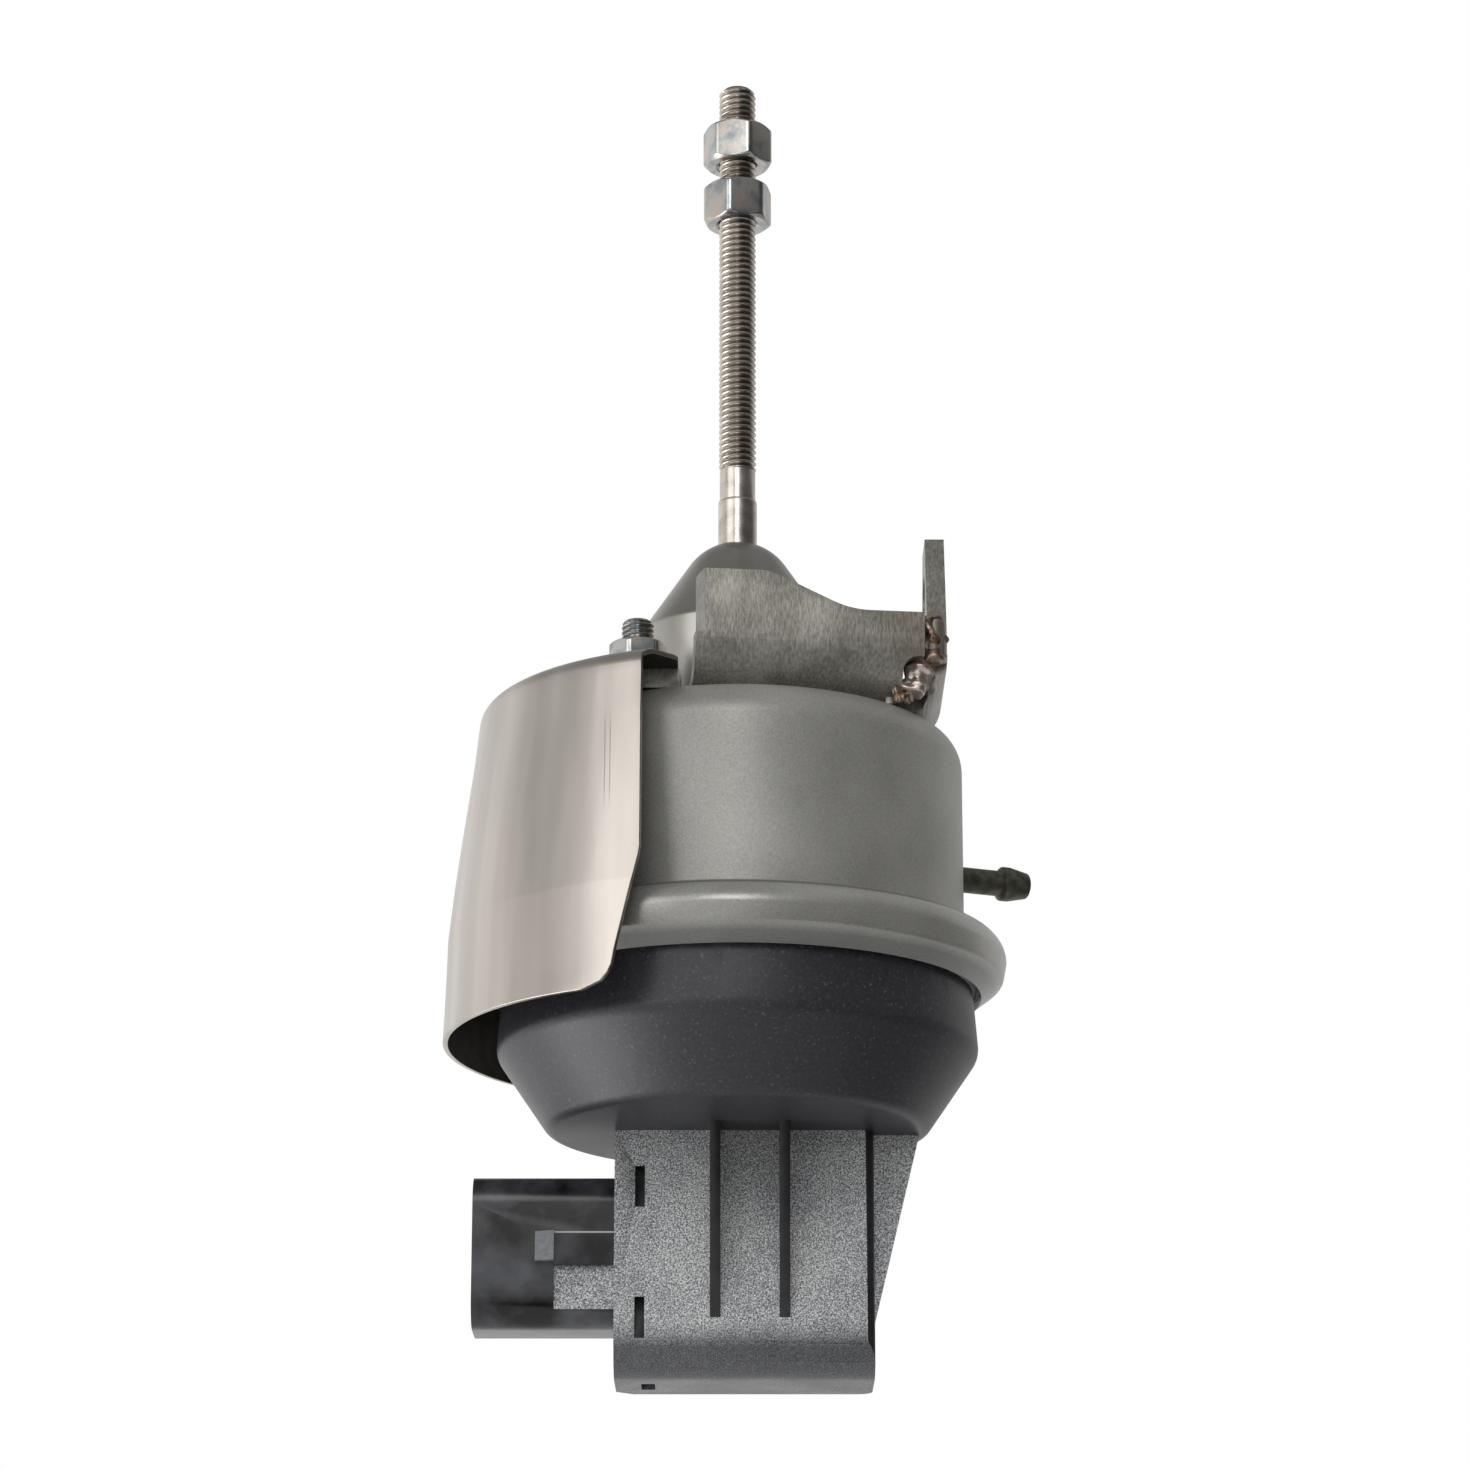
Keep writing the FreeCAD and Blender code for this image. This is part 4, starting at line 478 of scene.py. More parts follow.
def make_world():
    """Studio walls: white behind the part and at its left, greyer in front, with a dim ceiling
    and one dark doorway low at its right. The camera sees plain white, and metal shows the walls
    as bright as that white."""
    world = bpy.data.worlds.new("studio")
    bpy.context.scene.world = world
    world.use_nodes = True
    tree = world.node_tree
    tree.nodes.clear()
    toward = node(tree, "ShaderNodeTexCoord").outputs["Generated"]
    lean = vector_calc(tree, "DOT_PRODUCT", toward, TO_WHITE_WALL, "Value")
    walls = tones(tree, carried(tree, lean, 0.0, 1.0, -1.0, 1.0),
                  (0.15, "#DCDCDC"), (0.50, "#CCCCCC"), (0.75, "#DCDCDC"), (0.90, "#FFFFFF"))
    aside = vector_calc(tree, "DOT_PRODUCT", toward, TO_DOORWAY, "Value")
    doorway = carried(tree, aside, 1.0, 0.12, 0.37, 0.70)
    height = axes(tree, toward)["Z"]
    ceiling = carried(tree, height, 1.0, 0.45, 0.36, 0.75)
    soft = carried(tree, height, 0.25, 1.0, -0.5, 0.1)
    ray = node(tree, "ShaderNodeLightPath").outputs
    mirrored = calc(tree, "MAXIMUM", ray["Is Glossy Ray"], ray["Is Transmission Ray"])
    strength = node(tree, "ShaderNodeMix", {
        "Factor": mirrored, "A": soft, "B": calc(tree, "MULTIPLY", doorway, ceiling)}).outputs[0]
    lit = node(tree, "ShaderNodeBackground", {"Color": walls, "Strength": strength}).outputs[0]
    seen = node(tree, "ShaderNodeBackground", {"Color": linear("#FFFFFF")}).outputs[0]
    mixed = node(tree, "ShaderNodeMixShader", {0: ray["Is Camera Ray"], 1: lit, 2: seen}).outputs[0]
    node(tree, "ShaderNodeOutputWorld", {"Surface": mixed})


def area_lamp(name, place, target, side, watts):
    """A soft square lamp at a place, facing a target."""
    lamp = bpy.data.lights.new(name, "AREA")
    lamp.size = side
    lamp.energy = watts
    thing = add_object(name, lamp)
    thing.location = Vector(place)
    thing.rotation_euler = (Vector(target) - Vector(place)).to_track_quat("-Z", "Y").to_euler()


def make_floor():
    """A pale floor well below the part, which hangs from its bracket."""
    bpy.ops.mesh.primitive_plane_add(size=FLOOR_SIDE, location=(0.0, 0.0, -FLOOR_DROP))
    floor = bpy.context.object
    floor.name = "floor"
    floor.data.materials.append(plain_finish("pale_floor", "#D0D0CD", "#D5D5D2", 60.0, 0.0, 0.8))


make_camera()
make_world()
area_lamp("key", (-0.65, -0.66, 0.28), (0, 0, 0), 0.60, 1.6)
area_lamp("front", (-0.05, -1.05, 0.52), (0, 0, 0), 0.40, 1.7)
area_lamp("low", (-0.74, -0.05, -0.58), (0, 0, -0.05), 0.60, 3.8)
make_floor()
bpy.context.scene.view_settings.view_transform = "Standard"


# Meshes

def polar(radius, angle, height):
    """The point at a radius, an angle and a height about the Z axis."""
    return Vector((radius * math.cos(angle), radius * math.sin(angle), height))


def declare(piece, body, stands_for):
    """Says which body a piece rides, if it keeps to one, which nodes it stands for."""
    if body:
        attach(piece, body)
    if stands_for:
        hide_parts(*stands_for)


def add_mesh(name, mesh, finish, body, stands_for):
    """Adds a mesh as a smooth piece of one finish."""
    mesh.materials.append(finish)
    smooth(mesh)
    piece = add_object(name, mesh)
    declare(piece, body, stands_for)
    return piece


def new_piece(name, points, faces, finish, body, stands_for):
    """A piece from points in millimetres and the faces between them."""
    mesh = bpy.data.meshes.new(name)
    mesh.from_pydata([Vector(point) * MM for point in points], [], faces)
    return add_mesh(name, mesh, finish, body, stands_for)


def mesh_of(shape, name):
    """A mesh of a built shape, which is freed."""
    mesh = bpy.data.meshes.new(name)
    shape.to_mesh(mesh)
    shape.free()
    return mesh


def smooth(mesh):
    """Smooth shading, with sharp edges kept crisp and faces turned outward."""
    shape = bmesh.new()
    shape.from_mesh(mesh)
    bmesh.ops.recalc_face_normals(shape, faces=shape.faces)
    shape.to_mesh(mesh)
    shape.free()
    mesh.polygons.foreach_set("use_smooth", [True] * len(mesh.polygons))
    mesh.set_sharp_from_angle(angle=SHARP_ANGLE)


def rounded(corners, closed=True, steps=6):
    """A path through (x, y) corners, where a third number rounds a corner to that radius."""
    path = []
    for index, corner in enumerate(corners):
        radius = corner[2] if len(corner) > 2 else 0
        at = Vector(corner[:2])
        if not radius or (not closed and index in (0, len(corners) - 1)):
            path.append(tuple(at))
            continue
        before = Vector(corners[index - 1][:2]) - at
        after = Vector(corners[(index + 1) % len(corners)][:2]) - at
        half_turn = before.angle(after) / 2
        centre = at + (before.normalized() + after.normalized()).normalized() * (radius / math.sin(half_turn))
        first = at + before.normalized() * (radius / math.tan(half_turn)) - centre
        last = at + after.normalized() * (radius / math.tan(half_turn)) - centre
        swing = first.angle_signed(last)
        for step in range(steps + 1):
            turn = -swing * step / steps
            path.append((centre.x + first.x * math.cos(turn) - first.y * math.sin(turn),
                         centre.y + first.x * math.sin(turn) + first.y * math.cos(turn)))
    return path


def lathe(path, segments, closed=True):
    """Points and faces of an (r, z) path turned about the Z axis."""
    points = [polar(r, math.tau * turn / segments, z) for turn in range(segments) for r, z in path]
    count = len(path)
    faces = []
    for turn in range(segments):
        this, following = turn * count, (turn + 1) % segments * count
        for index in range(count if closed else count - 1):
            beside = (index + 1) % count
            faces.append((this + index, following + index, following + beside, this + beside))
    return points, faces


def tube_faces(rings, around):
    """The faces along a tube, from one ring of points to the next."""
    return [(ring * around + side, ring * around + (side + 1) % around,
             (ring + 1) * around + (side + 1) % around, (ring + 1) * around + side)
            for ring in range(rings) for side in range(around)]


def hide_seams(shape):
    """Joins points that fall together and drops the empty faces between them."""
    bmesh.ops.remove_doubles(shape, verts=shape.verts, dist=SEAM_GAP * MM)
    bmesh.ops.dissolve_degenerate(shape, edges=shape.edges, dist=SEAM_GAP * MM)


def soften(piece, width, angle=DRESSED_ANGLE):
    """Rounds the piece's edges that are sharper than the angle by that many millimetres."""
    edge = piece.modifiers.new("worn_edges", "BEVEL")
    edge.width = width * MM
    edge.segments = 2
    edge.limit_method = "ANGLE"
    edge.angle_limit = angle
    edge.harden_normals = True
    edge.miter_outer = "MITER_ARC"


def dressed_copy(name, node_name, body, finishes, finish_of, width):
    """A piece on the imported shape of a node: its flat faces made whole, its edges softened and
    each face given its own finish."""
    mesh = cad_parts[node_name].data.copy()
    mesh.name = name
    mesh.materials.clear()
    for finish in finishes:
        mesh.materials.append(finish)
    shape = bmesh.new()
    shape.from_mesh(mesh)
    hide_seams(shape)
    bmesh.ops.dissolve_limit(shape, angle_limit=FLAT_ANGLE, verts=shape.verts, edges=shape.edges)
    for face in shape.faces:
        face.smooth = True
        face.material_index = finish_of(face.calc_center_median() / MM, face.normal)
    shape.to_mesh(mesh)
    shape.free()
    mesh.set_sharp_from_angle(angle=DRESSED_ANGLE)
    piece = add_object(name, mesh)
    soften(piece, width)
    declare(piece, body, [node_name])


# The can, the cone over its bush and the vacuum nipple

def make_canister():
    """The drawn can and its rolled ring, turned finely so that its rounds run smooth."""
    centre = RING_RADIUS - RING_BEND
    crease = RING_DROP - math.sqrt(RING_BEND ** 2 - (centre - CAN_RADIUS) ** 2)
    start = math.atan2(RING_DROP - crease, CAN_RADIUS - centre)
    steps = 24
    turns = [start * (1 - step / steps) for step in range(1, steps + 1)]
    ring = [(centre + RING_BEND * math.cos(turn), RING_BEND * math.sin(turn) - RING_DROP) for turn in turns]
    lip_radius = RING_EDGE_RADIUS - FLANK_LENGTH * math.cos(FLANK_TILT)
    lip_drop = RING_EDGE_DROP + FLANK_LENGTH * math.sin(FLANK_TILT)
    inner = CAN_RADIUS - CAN_WALL
    outer = rounded([
        (BUSH_RADIUS, 0), (CAN_RADIUS, 0, CAN_ROUND), (CAN_RADIUS, -crease + CREASE_ROUND),
        (CAN_RADIUS + CREASE_ROUND, -crease)], closed=False, steps=12)
    edge = rounded([
        ring[-1], (RING_EDGE_RADIUS, -RING_EDGE_DROP, RING_EDGE_ROUND),
        (lip_radius, -lip_drop)], closed=False)
    inside = [
        (lip_radius - CAN_WALL * math.sin(FLANK_TILT), CAN_WALL * math.cos(FLANK_TILT) - lip_drop),
        (RING_EDGE_RADIUS - CAN_WALL, -RING_EDGE_DROP + CAN_WALL / 2),
        (centre + RING_BEND - CAN_WALL, -RING_DROP),
        (centre, -RING_DROP + RING_BEND - CAN_WALL),
        (inner, -crease - CAN_WALL), (inner, -CAN_ROUND), (CAN_RADIUS - CAN_ROUND, -CAN_WALL),
        (BUSH_RADIUS, -CAN_WALL)]
    points, faces = lathe(outer + ring[:-1] + edge + inside, segments=240)
    new_piece("drawn_can", points, faces, CAN_STEEL, "housing", ["canister"])


def make_dome():
    """The pressed cone: round nose, straight flank and an upright skirt."""
    hole = SHANK_RADIUS + DOME_FIT
    centre = DOME_TOP - DOME_NOSE
    skirt = DOME_NOSE / math.cos(DOME_TILT) + (centre - DOME_FOLD) * math.tan(DOME_TILT)
    first = math.asin(hole / DOME_NOSE)
    last, middle, steps = math.pi / 2 - DOME_TILT, math.radians(30), 20
    turns = [first + (last - first) * step / steps for step in range(steps + 1)]
    nose = [(DOME_NOSE * math.sin(turn), centre + DOME_NOSE * math.cos(turn)) for turn in turns]
    outer = rounded([nose[-1], (skirt, DOME_FOLD, DOME_FOLD_ROUND), (skirt, 0)], closed=False)
    under = DOME_NOSE - DOME_WALL
    inside = [
        (skirt - DOME_WALL, 0), (skirt - DOME_WALL, DOME_FOLD - DOME_WALL / 2),
        (under * math.sin(last), centre + under * math.cos(last)),
        (under * math.sin(middle), centre + under * math.cos(middle)),
        (hole, centre + math.sqrt(under ** 2 - hole ** 2))]
    points, faces = lathe(nose[:-1] + outer + inside, segments=192)
    new_piece("pressed_cone", points, faces, DOME_STEEL, "housing", ["dome"])


def make_nipple():
    """The turned nipple: a plain tube with one rounded barb, its bore open at the mouth."""
    barb = NIPPLE_TIP - NIPPLE_BARB_LENGTH
    path = rounded([
        (NIPPLE_BORE, NIPPLE_ROOT), (NIPPLE_RADIUS, NIPPLE_ROOT),
        (NIPPLE_RADIUS, barb), (NIPPLE_BARB_RADIUS, barb + NIPPLE_BARB_STEP, BARB_ROUND),
        (NIPPLE_BARB_RADIUS, NIPPLE_TIP - NIPPLE_BARB_LIP, BARB_BACK_ROUND),
        (NIPPLE_RADIUS, NIPPLE_TIP, BARB_ROUND),
        (NIPPLE_BORE, NIPPLE_TIP)])
    points, faces = lathe(path, segments=64)
    aim = Matrix.Translation((0, 0, -NIPPLE_DROP)) @ Matrix.Rotation(math.radians(NIPPLE_TURN), 4, "Z")
    aim = aim @ Matrix.Rotation(math.pi / 2, 4, "Y")
    points = [aim @ point for point in points]
    new_piece("barbed_nipple", points, faces, NIPPLE_STEEL, "housing", ["vacuum_nipple"])


# Threads, nuts and washers

def thread_radius(share, crest, root):
    """Radius of a rolled thread at a share of its pitch: flat crest and root, straight flanks."""
    slope, root_flat = 1.4, 0.2
    rise = slope * (1 - abs(2 * share - 1)) - root_flat
    return root + (crest - root) * min(max(rise, 0.0), 1.0)


def threaded_end(shape, pitch, crest, root, low, high, chamfer, runout, segments=48, rows=10):
    """Adds a thread whose rows climb with its helix: it starts at the runout radius and ends in a
    chamfered flat tip."""
    count = round((high - low) / pitch + 2) * rows
    columns = []
    for side in range(segments):
        column = []
        for row in range(count):
            z = min(max(low + pitch * (row / rows + side / segments - 1), low), high)
            radius = thread_radius(row % rows / rows, crest, root)
            settle = min(1.0, (z - low) / (pitch / 2))
            radius = min(runout + (radius - runout) * settle, crest - chamfer + high - z)
            column.append(shape.verts.new(polar(radius, math.tau * side / segments, z) * MM))
        columns.append(column)
    for side in range(segments):
        beside, shift = (columns[side + 1], 0) if side < segments - 1 else (columns[0], rows)
        for row in range(count - 1 - shift):
            shape.faces.new((columns[side][row], beside[row + shift],
                             beside[row + shift + 1], columns[side][row + 1]))
    top = shape.verts.new(Vector((0, 0, high)) * MM)
    for side in range(segments):
        beside = columns[(side + 1) % segments]
        shape.faces.new((columns[side][-1], beside[-1], top))


def turned_part(shape, path, segments=48):
    """Adds an (r, z) path turned about the Z axis, open at its ends."""
    points, faces = lathe(path, segments, closed=False)
    verts = [shape.verts.new(point * MM) for point in points]
    for face in faces:
        shape.faces.new([verts[index] for index in face])


def shape_to_piece(shape, name, finish, body, stands_for, offset=(0, 0, 0)):
    """Turns a built shape into a piece, moved by the offset in millimetres."""
    hide_seams(shape)
    bmesh.ops.translate(shape, vec=Vector(offset) * MM, verts=shape.verts)
    return add_mesh(name, mesh_of(shape, name), finish, body, stands_for)


def make_rod():
    """The push rod: clamped foot and collar, bright shank, undercut and the rolled M6 thread."""
    shape = bmesh.new()
    collar_top = -PISTON_DROP + COLLAR_HEIGHT
    turned_part(shape, [
        (0, -PISTON_DROP - FOOT_LENGTH), (FOOT_RADIUS, -PISTON_DROP - FOOT_LENGTH),
        (FOOT_RADIUS, -PISTON_DROP), (COLLAR_RADIUS, -PISTON_DROP), (COLLAR_RADIUS, collar_top),
        (SHANK_RADIUS, collar_top), (SHANK_RADIUS, SHANK_TOP - SHOULDER_START),
        (SHANK_RADIUS, SHANK_TOP - SHOULDER_EASE), (SHANK_RADIUS - SHOULDER_WORN, SHANK_TOP - SHOULDER_WORN),
        (UNDERCUT_RADIUS, SHANK_TOP), (UNDERCUT_RADIUS, UNDERCUT_TOP)])
    threaded_end(shape, ROD_PITCH, ROD_CREST, ROD_ROOT, UNDERCUT_TOP, ROD_TIP, ROD_CHAMFER, UNDERCUT_RADIUS)
    shape_to_piece(shape, "threaded_rod", ROD_STEEL, "rod", ["push_rod"])


def make_studs():
    """The two M5 studs on the can's top."""
    for name, sign in STUD_SIDES.items():
        shape = bmesh.new()
        turned_part(shape, [(0, 0), (STUD_RADIUS, 0)])
        threaded_end(shape, STUD_PITCH, STUD_CREST, STUD_ROOT, 0, STUD_LENGTH, STUD_CHAMFER, STUD_RADIUS)
        shape_to_piece(shape, "threaded_stud_" + name, ZINC, "housing", ["stud_" + name],
                       (sign * STUD_X, sign * STUD_Y, 0))


def hexagon(angle, flats):
    """How far a hexagon bar's side lies from its axis at an angle, its corners worn round."""
    within = (angle + math.pi / 6) % (math.pi / 3) - math.pi / 6
    corner = flats / math.sqrt(3) - NUT_CORNER_WEAR
    return min(flats / 2 / math.cos(math.pi / 6 - abs(within)), corner)


def make_hex_nut(name, node_name, body, flats, height, bore, turn, place):
    """A hexagon nut: its faces run out in the arcs that its turned chamfers leave."""
    segments, face_radius = 144, flats / 2 * NUT_FACE_SHARE
    shape = bmesh.new()
    columns = []
    for side in range(segments):
        angle = math.tau * side / segments
        reach = hexagon(angle, flats)
        drop = (reach - face_radius) / NUT_STEEPNESS
        path = [(bore, height / 2), (bore, NUT_BORE_CHAMFER), (bore + NUT_BORE_CHAMFER, 0),
                (face_radius - NUT_RIM, 0)]
        path += [(face_radius + drop * NUT_STEEPNESS * share, drop * share) for share in (0, 0.5, 0.9)]
        path += [(reach - NUT_EDGE_EASE, drop + NUT_EDGE_START), (reach, drop + NUT_EDGE_END)]
        path += [(r, height - z) for r, z in reversed(path)]
        columns.append([shape.verts.new(polar(r, angle + turn, z) * MM) for r, z in path])
    for side in range(segments):
        this, beside = columns[side], columns[(side + 1) % segments]
        for row in range(len(this)):
            after = (row + 1) % len(this)
            shape.faces.new((this[row], beside[row], beside[after], this[after]))
    shape_to_piece(shape, name, ZINC, body, [node_name], place)


def make_nuts():
    """The adjusting nut and lock nut on the rod, and the two nuts that clamp bracket and shield."""
    for node_name, body, seat, turn in (
            ("adjusting_nut", "nut_adjusting", ADJUSTING_NUT_SEAT, ADJUSTING_NUT_TURN),
            ("lock_nut", "nut_lock", LOCK_NUT_SEAT, LOCK_NUT_TURN)):
        make_hex_nut("hexagon_" + node_name, node_name, body, ROD_NUT_FLATS, ROD_NUT_HEIGHT,
                     ROD_CREST + NUT_FIT, math.radians(turn), (0, 0, seat))
    for name, sign in STUD_SIDES.items():
        make_hex_nut("hexagon_stud_nut_" + name, "stud_nut_" + name, "housing", STUD_NUT_FLATS,
                     STUD_NUT_HEIGHT, STUD_RADIUS + NUT_FIT, math.radians(STUD_NUT_TURN),
                     (sign * STUD_X, sign * STUD_Y, STUD_NUT_SEAT))


def make_washers():
    """Stamped washers, their upper edge rolled over by the punch."""
    for name, sign in STUD_SIDES.items():
        path = rounded([
            (STUD_RADIUS + STUD_FIT, 0), (WASHER_RADIUS, 0, WASHER_FOOT_ROUND),
            (WASHER_RADIUS, WASHER_THICK, WASHER_TOP_ROUND),
            (STUD_RADIUS + STUD_FIT, WASHER_THICK, WASHER_BORE_ROUND)])
        seat = Vector((sign * STUD_X, sign * STUD_Y, SHEET_THICK + SHIELD_THICK))
        points, faces = lathe(path, segments=96)
        points = [point + seat for point in points]
        new_piece("stamped_washer_" + name, points, faces, ZINC, "housing", ["washer_" + name])


# The heat shield

def shield_path():
    """The shield's outer face from its hole to its hem, as (r, z), close enough to run smooth."""
    top = SHEET_THICK + SHIELD_THICK
    path = rounded([
        (SHIELD_HOLE, top), (SHIELD_TOP_RADIUS, top, SHIELD_ROUND),
        (SHIELD_WAIST_RADIUS, -SHIELD_WAIST_DROP, SHIELD_WAIST_ROUND),
        (SHIELD_HEM_RADIUS, -SHIELD_HEM_DROP)], closed=False, steps=10)
    close = [path[0]]
    for r, z in path[1:]:
        before_r, before_z = close[-1]
        runs = max(1, math.ceil(math.hypot(r - before_r, z - before_z) / SHIELD_RUN))
        close += [(before_r + (r - before_r) * run / runs, before_z + (z - before_z) * run / runs)
                  for run in range(1, runs + 1)]
    return close


def shield_edge(r, z):
    """How far left of the rod the shield's front edge lies at one point of its path."""
    if z > SHEET_THICK:
        share = min(max((r - TONGUE_TIP_RADIUS) / (TONGUE_OUTER_RADIUS - TONGUE_TIP_RADIUS), 0.0), 1.0)
        return TONGUE_TIP_X + (SHIELD_EDGE_X - TONGUE_TIP_X) * share
    foot = SHIELD_HEM_DROP - SHIELD_CORNER
    slant = min(max((-z - SHIELD_SLANT_DROP) / (foot - SHIELD_SLANT_DROP), 0.0), 1.0)
    corner = min(max((-z - foot) / SHIELD_CORNER, 0.0), 1.0)
    return SHIELD_EDGE_X + SHIELD_SLANT * slant + SHIELD_CORNER * (1 - math.sqrt(1 - corner ** 2))


def shield_wave(z, azimuth):
    """The press's unevenness: a few tenths of a millimetre, none at the flange or the hem."""
    if z > 0:
        return 0.0
    height = min(1.0, -z / WAVE_FADE_TOP) * min(1.0, (SHIELD_HEM_DROP + z) / WAVE_FADE_HEM)
    return WAVE_DEPTH * height * noise.noise(polar(WAVE_TURNS, azimuth, z / WAVE_LENGTH))


def make_shield():
    """The pressed shield: flange, rounded edge, flared wall with its soft waist and an upright
    hem, cut back at the front; bright outside, and inside darkened and dulled with painted shade."""
    outer = shield_path()
    columns, start = 150, math.radians(SHIELD_START)
    shape = bmesh.new()
    sheets = []
    for inset in (0.0, SHIELD_THICK):
        sheet = []
        for index, (r, z) in enumerate(outer):
            ahead, behind = outer[min(index + 1, len(outer) - 1)], outer[max(index - 1, 0)]
            along = Vector((ahead[0] - behind[0], ahead[1] - behind[1])).normalized()
            inner_r, inner_z = r + along.y * inset, z - along.x * inset
            end = math.pi + math.acos(shield_edge(r, z) / r)
            row = []
            for column in range(columns + 1):
                azimuth = start + (end - start) * column / columns
                radius = inner_r + shield_wave(z, azimuth)
                row.append(shape.verts.new(polar(radius, azimuth, inner_z) * MM))
            sheet.append(row)
        sheets.append(sheet)
    face, back = sheets
    for low in range(len(outer) - 1):
        for column in range(columns):
            for side, sheet in enumerate(sheets):
                wall = shape.faces.new((sheet[low][column], sheet[low][column + 1],
                                        sheet[low + 1][column + 1], sheet[low + 1][column]))
                wall.material_index = side
        for column in (0, columns):
            shape.faces.new((face[low][column], face[low + 1][column],
                             back[low + 1][column], back[low][column]))
    for low in (0, len(outer) - 1):
        for column in range(columns):
            shape.faces.new((face[low][column], face[low][column + 1],
                             back[low][column + 1], back[low][column]))
    shield = shape_to_piece(shape, "pressed_shield", SHIELD_STEEL, "housing", ["heat_shield"])
    # painted shade: the inner sheet takes the dark steel
    shield.data.materials.append(SCALED_STEEL)
    soften(shield, SHIELD_EDGE_ROUND, math.radians(60))


def make_strap():
    """The shield's flat strap, which goes round to the rear stud."""
    shape = bmesh.new()
    start, end, columns = math.radians(STRAP_START), math.radians(SHIELD_START), 80
    turns = [start + (end - start) * column / columns for column in range(columns + 1)]
    top = SHEET_THICK + SHIELD_THICK
    section = ((SHIELD_HOLE, SHEET_THICK), (STRAP_RADIUS, SHEET_THICK),
               (STRAP_RADIUS, top), (SHIELD_HOLE, top))
    rings = [[shape.verts.new(polar(r, turn, z) * MM) for turn in turns] for r, z in section]
    for index, ring in enumerate(rings):
        beside = rings[(index + 1) % len(rings)]
        for column in range(columns):
            shape.faces.new((ring[column], ring[column + 1], beside[column + 1], beside[column]))
    for column in (0, columns):
        shape.faces.new([ring[column] for ring in rings])
    shape_to_piece(shape, "shield_strap", SHIELD_STEEL, "housing", ["heat_shield"])


# The bracket and its weld

def make_bracket():
    """The folded bracket, its sheared edges softened."""
    dressed_copy("folded_bracket", "bracket", "housing", [BRACKET_STEEL],
                 lambda place, normal: 0, BRACKET_EDGE_ROUND)


def make_bead(name, foot, head, radius, finish):
    """A lumpy rope of molten metal between two points, faintly rippled."""
    around, along = 28, 44
    ripple_depth, ripple_turns, ripple_lean = 0.07, 30, 1.2
    lump_depth, lump_scale, swelling, bluntness = 0.9, 1.1, 0.15, 8
    axis = Vector(head) - Vector(foot)
    lay = axis.to_track_quat("Z", "Y").to_matrix()
    points = []
    for ring in range(along + 1):
        share = ring / along
        swell = math.sqrt(max(0.0, 1 - (2 * share - 1) ** bluntness))
        for side in range(around):
            turn = math.tau * side / around
            ripple = ripple_depth * math.sin(share * ripple_turns + ripple_lean * math.cos(turn))
            lump = lump_depth * noise.noise(polar(1, turn, share * axis.length / 2) * lump_scale)
            reach = (radius + swelling + ripple + lump) * swell
            points.append(Vector(foot) + lay @ polar(reach, turn, share * axis.length))
    new_piece(name, points, tube_faces(along, around), finish, "housing", [])


def make_weld():
    """The weld up the corner of wall and ear, its toe on the wall, and the metal that ran down into
    the notch."""
    make_bead("weld_bead", WELD_FOOT, WELD_HEAD, WELD_RADIUS, WELD_STEEL)
    make_bead("weld_toe", TOE_FOOT, TOE_HEAD, TOE_RADIUS, WELD_STEEL)
    make_bead("weld_run", RUN_FOOT, RUN_HEAD, RUN_RADIUS, DROP_STEEL)
    make_bead("weld_drip", DRIP_FOOT, DRIP_HEAD, DRIP_RADIUS, WELD_STEEL)


# The springs and the diaphragm inside the can

def make_spring(name, node_name, radius, wire, turns, y):
    """A coil spring of round wire, running from the bottom to the top of the node that it stands for."""
    around, steps = 12, turns * 40
    low, high = (corner[2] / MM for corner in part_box(node_name))
    points = []
    for step in range(steps + 1):
        turn = math.tau * turns * step / steps
        height = low + wire / 2 + (high - low - wire) * step / steps
        for side in range(around):
            spin = math.tau * side / around
            section = polar(radius + wire / 2 * math.cos(spin), turn, height + wire / 2 * math.sin(spin))
            points.append(section + Vector((0, y, 0)))
    faces = tube_faces(steps, around)
    faces += [tuple(range(around)), tuple(range(steps * around, (steps + 1) * around))]
    spring = new_piece(name, points, faces, SPRING_WIRE, None, [node_name])
    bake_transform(spring)


def make_springs():
    """The main spring between piston and can, and the small one that pushes the magnet carrier."""
    make_spring("coiled_main_spring", "main_spring", SPRING_RADIUS, SPRING_WIRE_SIZE, SPRING_TURNS, 0.0)
    make_spring("coiled_return_spring", "return_spring", RETURN_RADIUS, RETURN_WIRE_SIZE, RETURN_TURNS,
                CARRIER_Y)


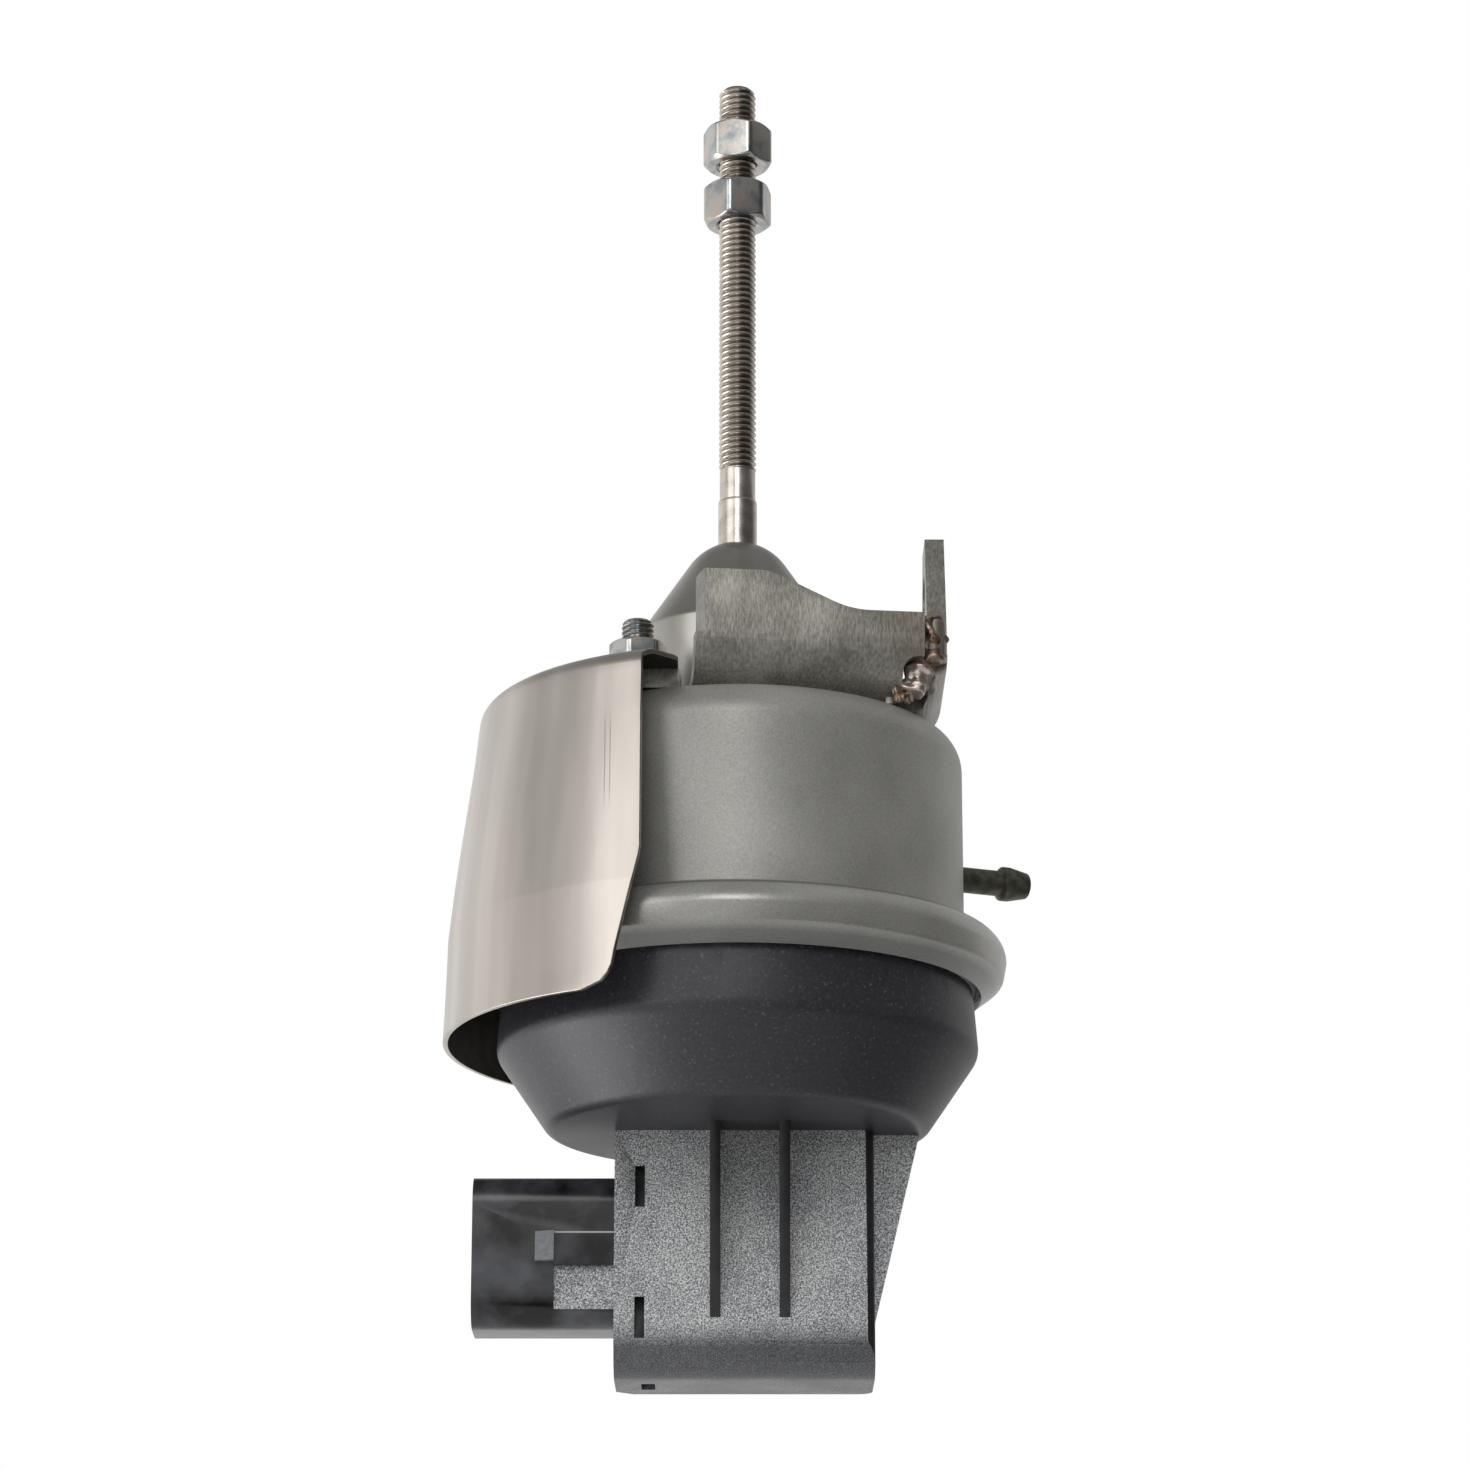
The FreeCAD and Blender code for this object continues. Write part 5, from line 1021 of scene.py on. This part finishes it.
def make_diaphragm():
    """The rubber diaphragm, parted at the top of its roll: the outer half lies on the can's wall and
    rides the housing, and the inner half, by the piston, rides no body."""
    for name, outer in (("diaphragm_wall", True), ("diaphragm_skirt", False)):
        shape = bmesh.new()
        shape.from_mesh(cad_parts["diaphragm"].data)
        hide_seams(shape)
        other = [face for face in shape.faces
                 if (face.calc_center_median().xy.length > ROLL_MIDDLE * MM) != outer]
        bmesh.ops.delete(shape, geom=other, context="FACES")
        bmesh.ops.bridge_loops(shape, edges=[edge for edge in shape.edges if edge.is_boundary])
        body = "housing" if outer else None
        half = add_mesh(name, mesh_of(shape, name), RUBBER, body, ["diaphragm"])
        if not outer:
            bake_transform(half)


# The plastic housing

CUP_FACE, BOX_FACE, SOCKET_FACE, EDGE_FACE, RAMP_FACE = range(5)


def housing_finish(place, normal):
    """Which of the mould's finishes a face has: smooth cup, grained box, polished socket, rib edges,
    slots and rounded corner darkened as painted shade, or scuffed latch ramp."""
    if place.z > -CUP_DROP - TOUCH:
        return CUP_FACE
    if place.x < -BOX_LEFT - TOUCH:
        ramp_right = RAMP_WIDTH - RAMP_LEFT
        if -RAMP_LEFT - TOUCH < place.x < ramp_right + TOUCH and place.y < -SOCKET_FRONT - TOUCH:
            return RAMP_FACE
        drop = -place.z - RAMP_TOP_DROP - RAIL_HEIGHT
        on_pad = place.x > ramp_right and 0 < drop < PAD_HEIGHT and normal.y < -FACING
        return BOX_FACE if on_pad else SOCKET_FACE
    slot_back = place.y > SLOT_DEPTH - BOX_FRONT and normal.y < -FACING
    slot_end = place.y < SLOT_REACH and abs(normal.z) > FACING
    in_slot = place.x < 0 and place.z > -SLOT_FOOT and (slot_back or slot_end)
    rounding = ROUND_FROM < normal.x < ROUND_TO
    on_corner = rounding and BOX_RIGHT - CORNER_WIDTH < place.x < BOX_RIGHT + TOUCH
    on_rib = place.y < -BOX_FRONT - TOUCH or abs(normal.x) > FACING and place.y < RIB_REACH
    # rib edges, slots and the rounded corner take the dark nylon as painted shade
    return EDGE_FACE if on_rib or on_corner or in_slot else BOX_FACE


def make_housing():
    """The one-piece moulding of cup, box and socket."""
    dressed_copy("moulded_housing", "sensor_housing", "housing",
                 [CUP_NYLON, BOX_NYLON, SOCKET_NYLON, EDGE_NYLON, RAMP_NYLON], housing_finish,
                 HOUSING_EDGE_ROUND)


make_canister()
make_dome()
make_nipple()
make_rod()
make_studs()
make_nuts()
make_washers()
make_shield()
make_strap()
make_bracket()
make_weld()
make_springs()
make_diaphragm()
make_housing()
